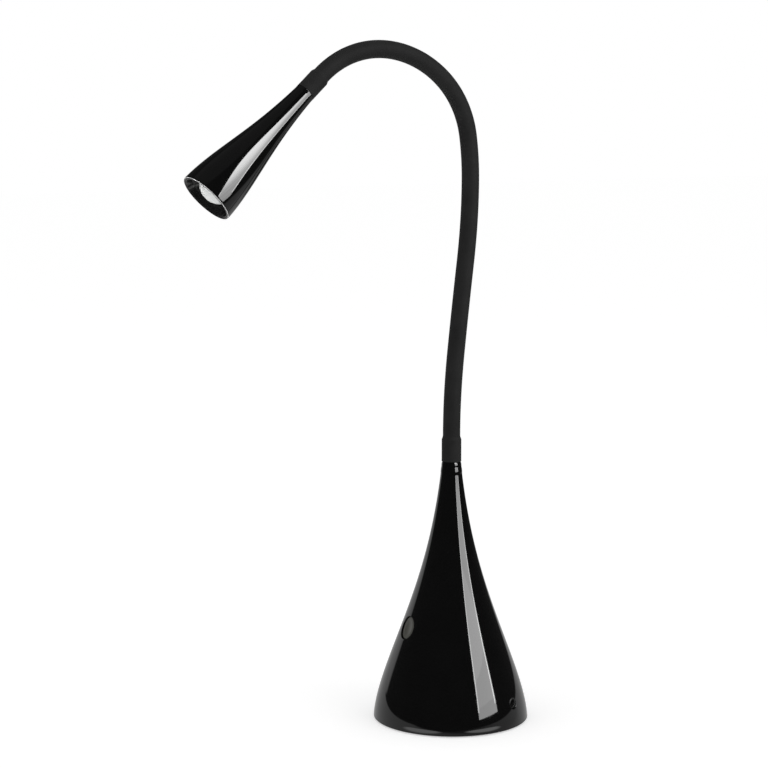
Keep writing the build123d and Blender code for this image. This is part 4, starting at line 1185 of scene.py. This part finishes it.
def table_glow(graph, place):
    """What the pale table shows in reflections: its far part, and brighter and dimmer pools near the lamp."""
    ahead = graph.ramp(graph.split(place)["Y"], *TABLE_AHEAD, 0.0, 1.0, smooth=True)
    near = graph.ramp(graph.vector("LENGTH", place), *TABLE_NEAR, 1.0, 0.0, smooth=True)
    far = backdrop_share(graph, place)
    glow = graph.math("MULTIPLY", graph.math("MAXIMUM", near, far), ahead)
    glow = graph.math("MAXIMUM", graph.math("MULTIPLY", glow, TABLE_GLOW), MIRROR_AMBIENT)
    for x, y, radius, strength in TABLE_POOLS:
        distance = graph.vector("DISTANCE", place, (x, y, 0))
        pool = graph.ramp(distance, radius * POOL_CORE, radius, strength, 0.0, smooth=True)
        glow = graph.math("MAXIMUM", glow, pool)
    return glow


def make_floor():
    """Pale floor: white but for the lamp's shadow, a table top in reflections, clear from below."""
    corners = [(x * FLOOR_REACH, y * FLOOR_REACH, 0) for x, y in ((-1, -1), (1, -1), (1, 1), (-1, 1))]
    data = bpy.data.meshes.new("floor")
    data.from_pydata(corners, [], [(0, 1, 2, 3)])
    floor = add_object("floor", data)
    material = bpy.data.materials.new("floor")
    graph = Graph(material)
    camera_ray, mirror_ray = graph.rays()
    matte = graph.add("BsdfDiffuse")
    matte.inputs["Color"].default_value = tone(FLOOR_TONE)
    seen = graph.add("AddShader")
    graph.feed(seen.inputs[0], matte.outputs[0])
    graph.feed(seen.inputs[1], graph.glow(graph.math("MULTIPLY", camera_ray, FLOOR_LIFT)))
    geometry = graph.add("NewGeometry").outputs
    mirrored = graph.glow(table_glow(graph, geometry["Position"]))
    top = graph.choose(mirror_ray, seen.outputs[0], mirrored)
    clear = graph.add("BsdfTransparent").outputs[0]
    graph.close("OutputMaterial", graph.choose(geometry["Backfacing"], top, clear))
    data.materials.append(material)


def make_world():
    """White to the camera, an even light on matte surfaces, a backdrop and a dim ceiling in reflections."""
    world = bpy.data.worlds.new("studio")
    scene.world = world
    graph = Graph(world)
    camera_ray, mirror_ray = graph.rays()
    direction = graph.add("TexCoord").outputs["Generated"]
    height = graph.split(direction)["Z"]

    def rising(start, stop, *values):
        low, high = sin(radians(start)), sin(radians(stop))
        return graph.ramp(height, low, high, *values, smooth=True)

    band = rising(BACKDROP_TOP, BACKDROP_FADE, 1.0, 0.0)
    backdrop = graph.math("MULTIPLY", band, backdrop_share(graph, direction))
    reflected = graph.math("MAXIMUM", graph.math("MULTIPLY", backdrop, BACKDROP_GLOW), MIRROR_AMBIENT)
    reflected = graph.math("MAXIMUM", reflected, rising(CEILING_START, CEILING_FULL, 0.0, CEILING_GLOW))
    other = graph.ramp(mirror_ray, 0, 1, AMBIENT, reflected)
    background = graph.add("Background")
    background.inputs["Color"].default_value = tone(1.0)
    graph.feed(background.inputs["Strength"], graph.ramp(camera_ray, 0, 1, other, 1.0))
    graph.close("OutputWorld", background.outputs[0])


def place_lamp(name, light, location, direction, mirrored):
    """Hang a light, unseen by the camera, where reflections show it only if it is mirrored."""
    lamp = add_object(name, light)
    lamp.location = location
    lamp.rotation_euler = direction.to_track_quat("-Z", "Y").to_euler()
    lamp.visible_camera = False
    lamp.visible_glossy = mirrored
    lamp.visible_transmission = mirrored
    return lamp


def panel(name, azimuth, distance, width, low, high, radiance, mirrored, lit):
    """An upright panel of light that faces the lamp."""
    light = bpy.data.lights.new(name, "AREA")
    light.shape = "RECTANGLE"
    light.size = width
    light.size_y = high - low
    light.energy = radiance * pi * width * (high - low)
    angle = radians(azimuth)
    location = (distance * sin(angle), distance * cos(angle), (low + high) / 2)
    inward = Vector((-sin(angle), -cos(angle), 0))
    place_lamp(name, light, location, inward, mirrored).visible_diffuse = lit


def make_lights():
    """One tall softbox to the right of the camera, and a plain key and fill for matte surfaces."""
    for i, band in enumerate(SOFTBOX_BANDS):
        panel(f"softbox_{i}", SOFTBOX_AZIMUTH, SOFTBOX_DISTANCE, SOFTBOX_WIDTH, *band, True, False)
    for row in PANELS:
        panel(*row)


def make_mouth_light():
    """A narrow light on the mouth of the head, for its matte surfaces."""
    light = bpy.data.lights.new("mouth_light", "AREA")
    light.shape = "DISK"
    light.size = MOUTH_LIGHT_SIZE
    light.spread = radians(MOUTH_LIGHT_SPREAD)
    light.energy = MOUTH_LIGHT * pi * pi * (MOUTH_LIGHT_SIZE / 2) ** 2
    location = (head_back + head_axis * head_length) * MM + head_axis * MOUTH_LIGHT_DISTANCE
    place_lamp("mouth_light", light, location, -head_axis, False)


make_camera()
make_base()
make_foot()
make_button()
make_inlet()
make_cuff("cuff_lower", Matrix.Translation((0, 0, collar_top)), "base", skirt=SKIRT)
make_neck()
make_spring()
make_cuff("cuff_upper", frame_at(head_back, -head_axis, (0, 1, 0)), "head")
make_head()
make_mouth_ring()
make_lens()
dress_nodes()
make_floor()
make_world()
make_lights()
make_mouth_light()
scene.view_settings.view_transform = "Standard"
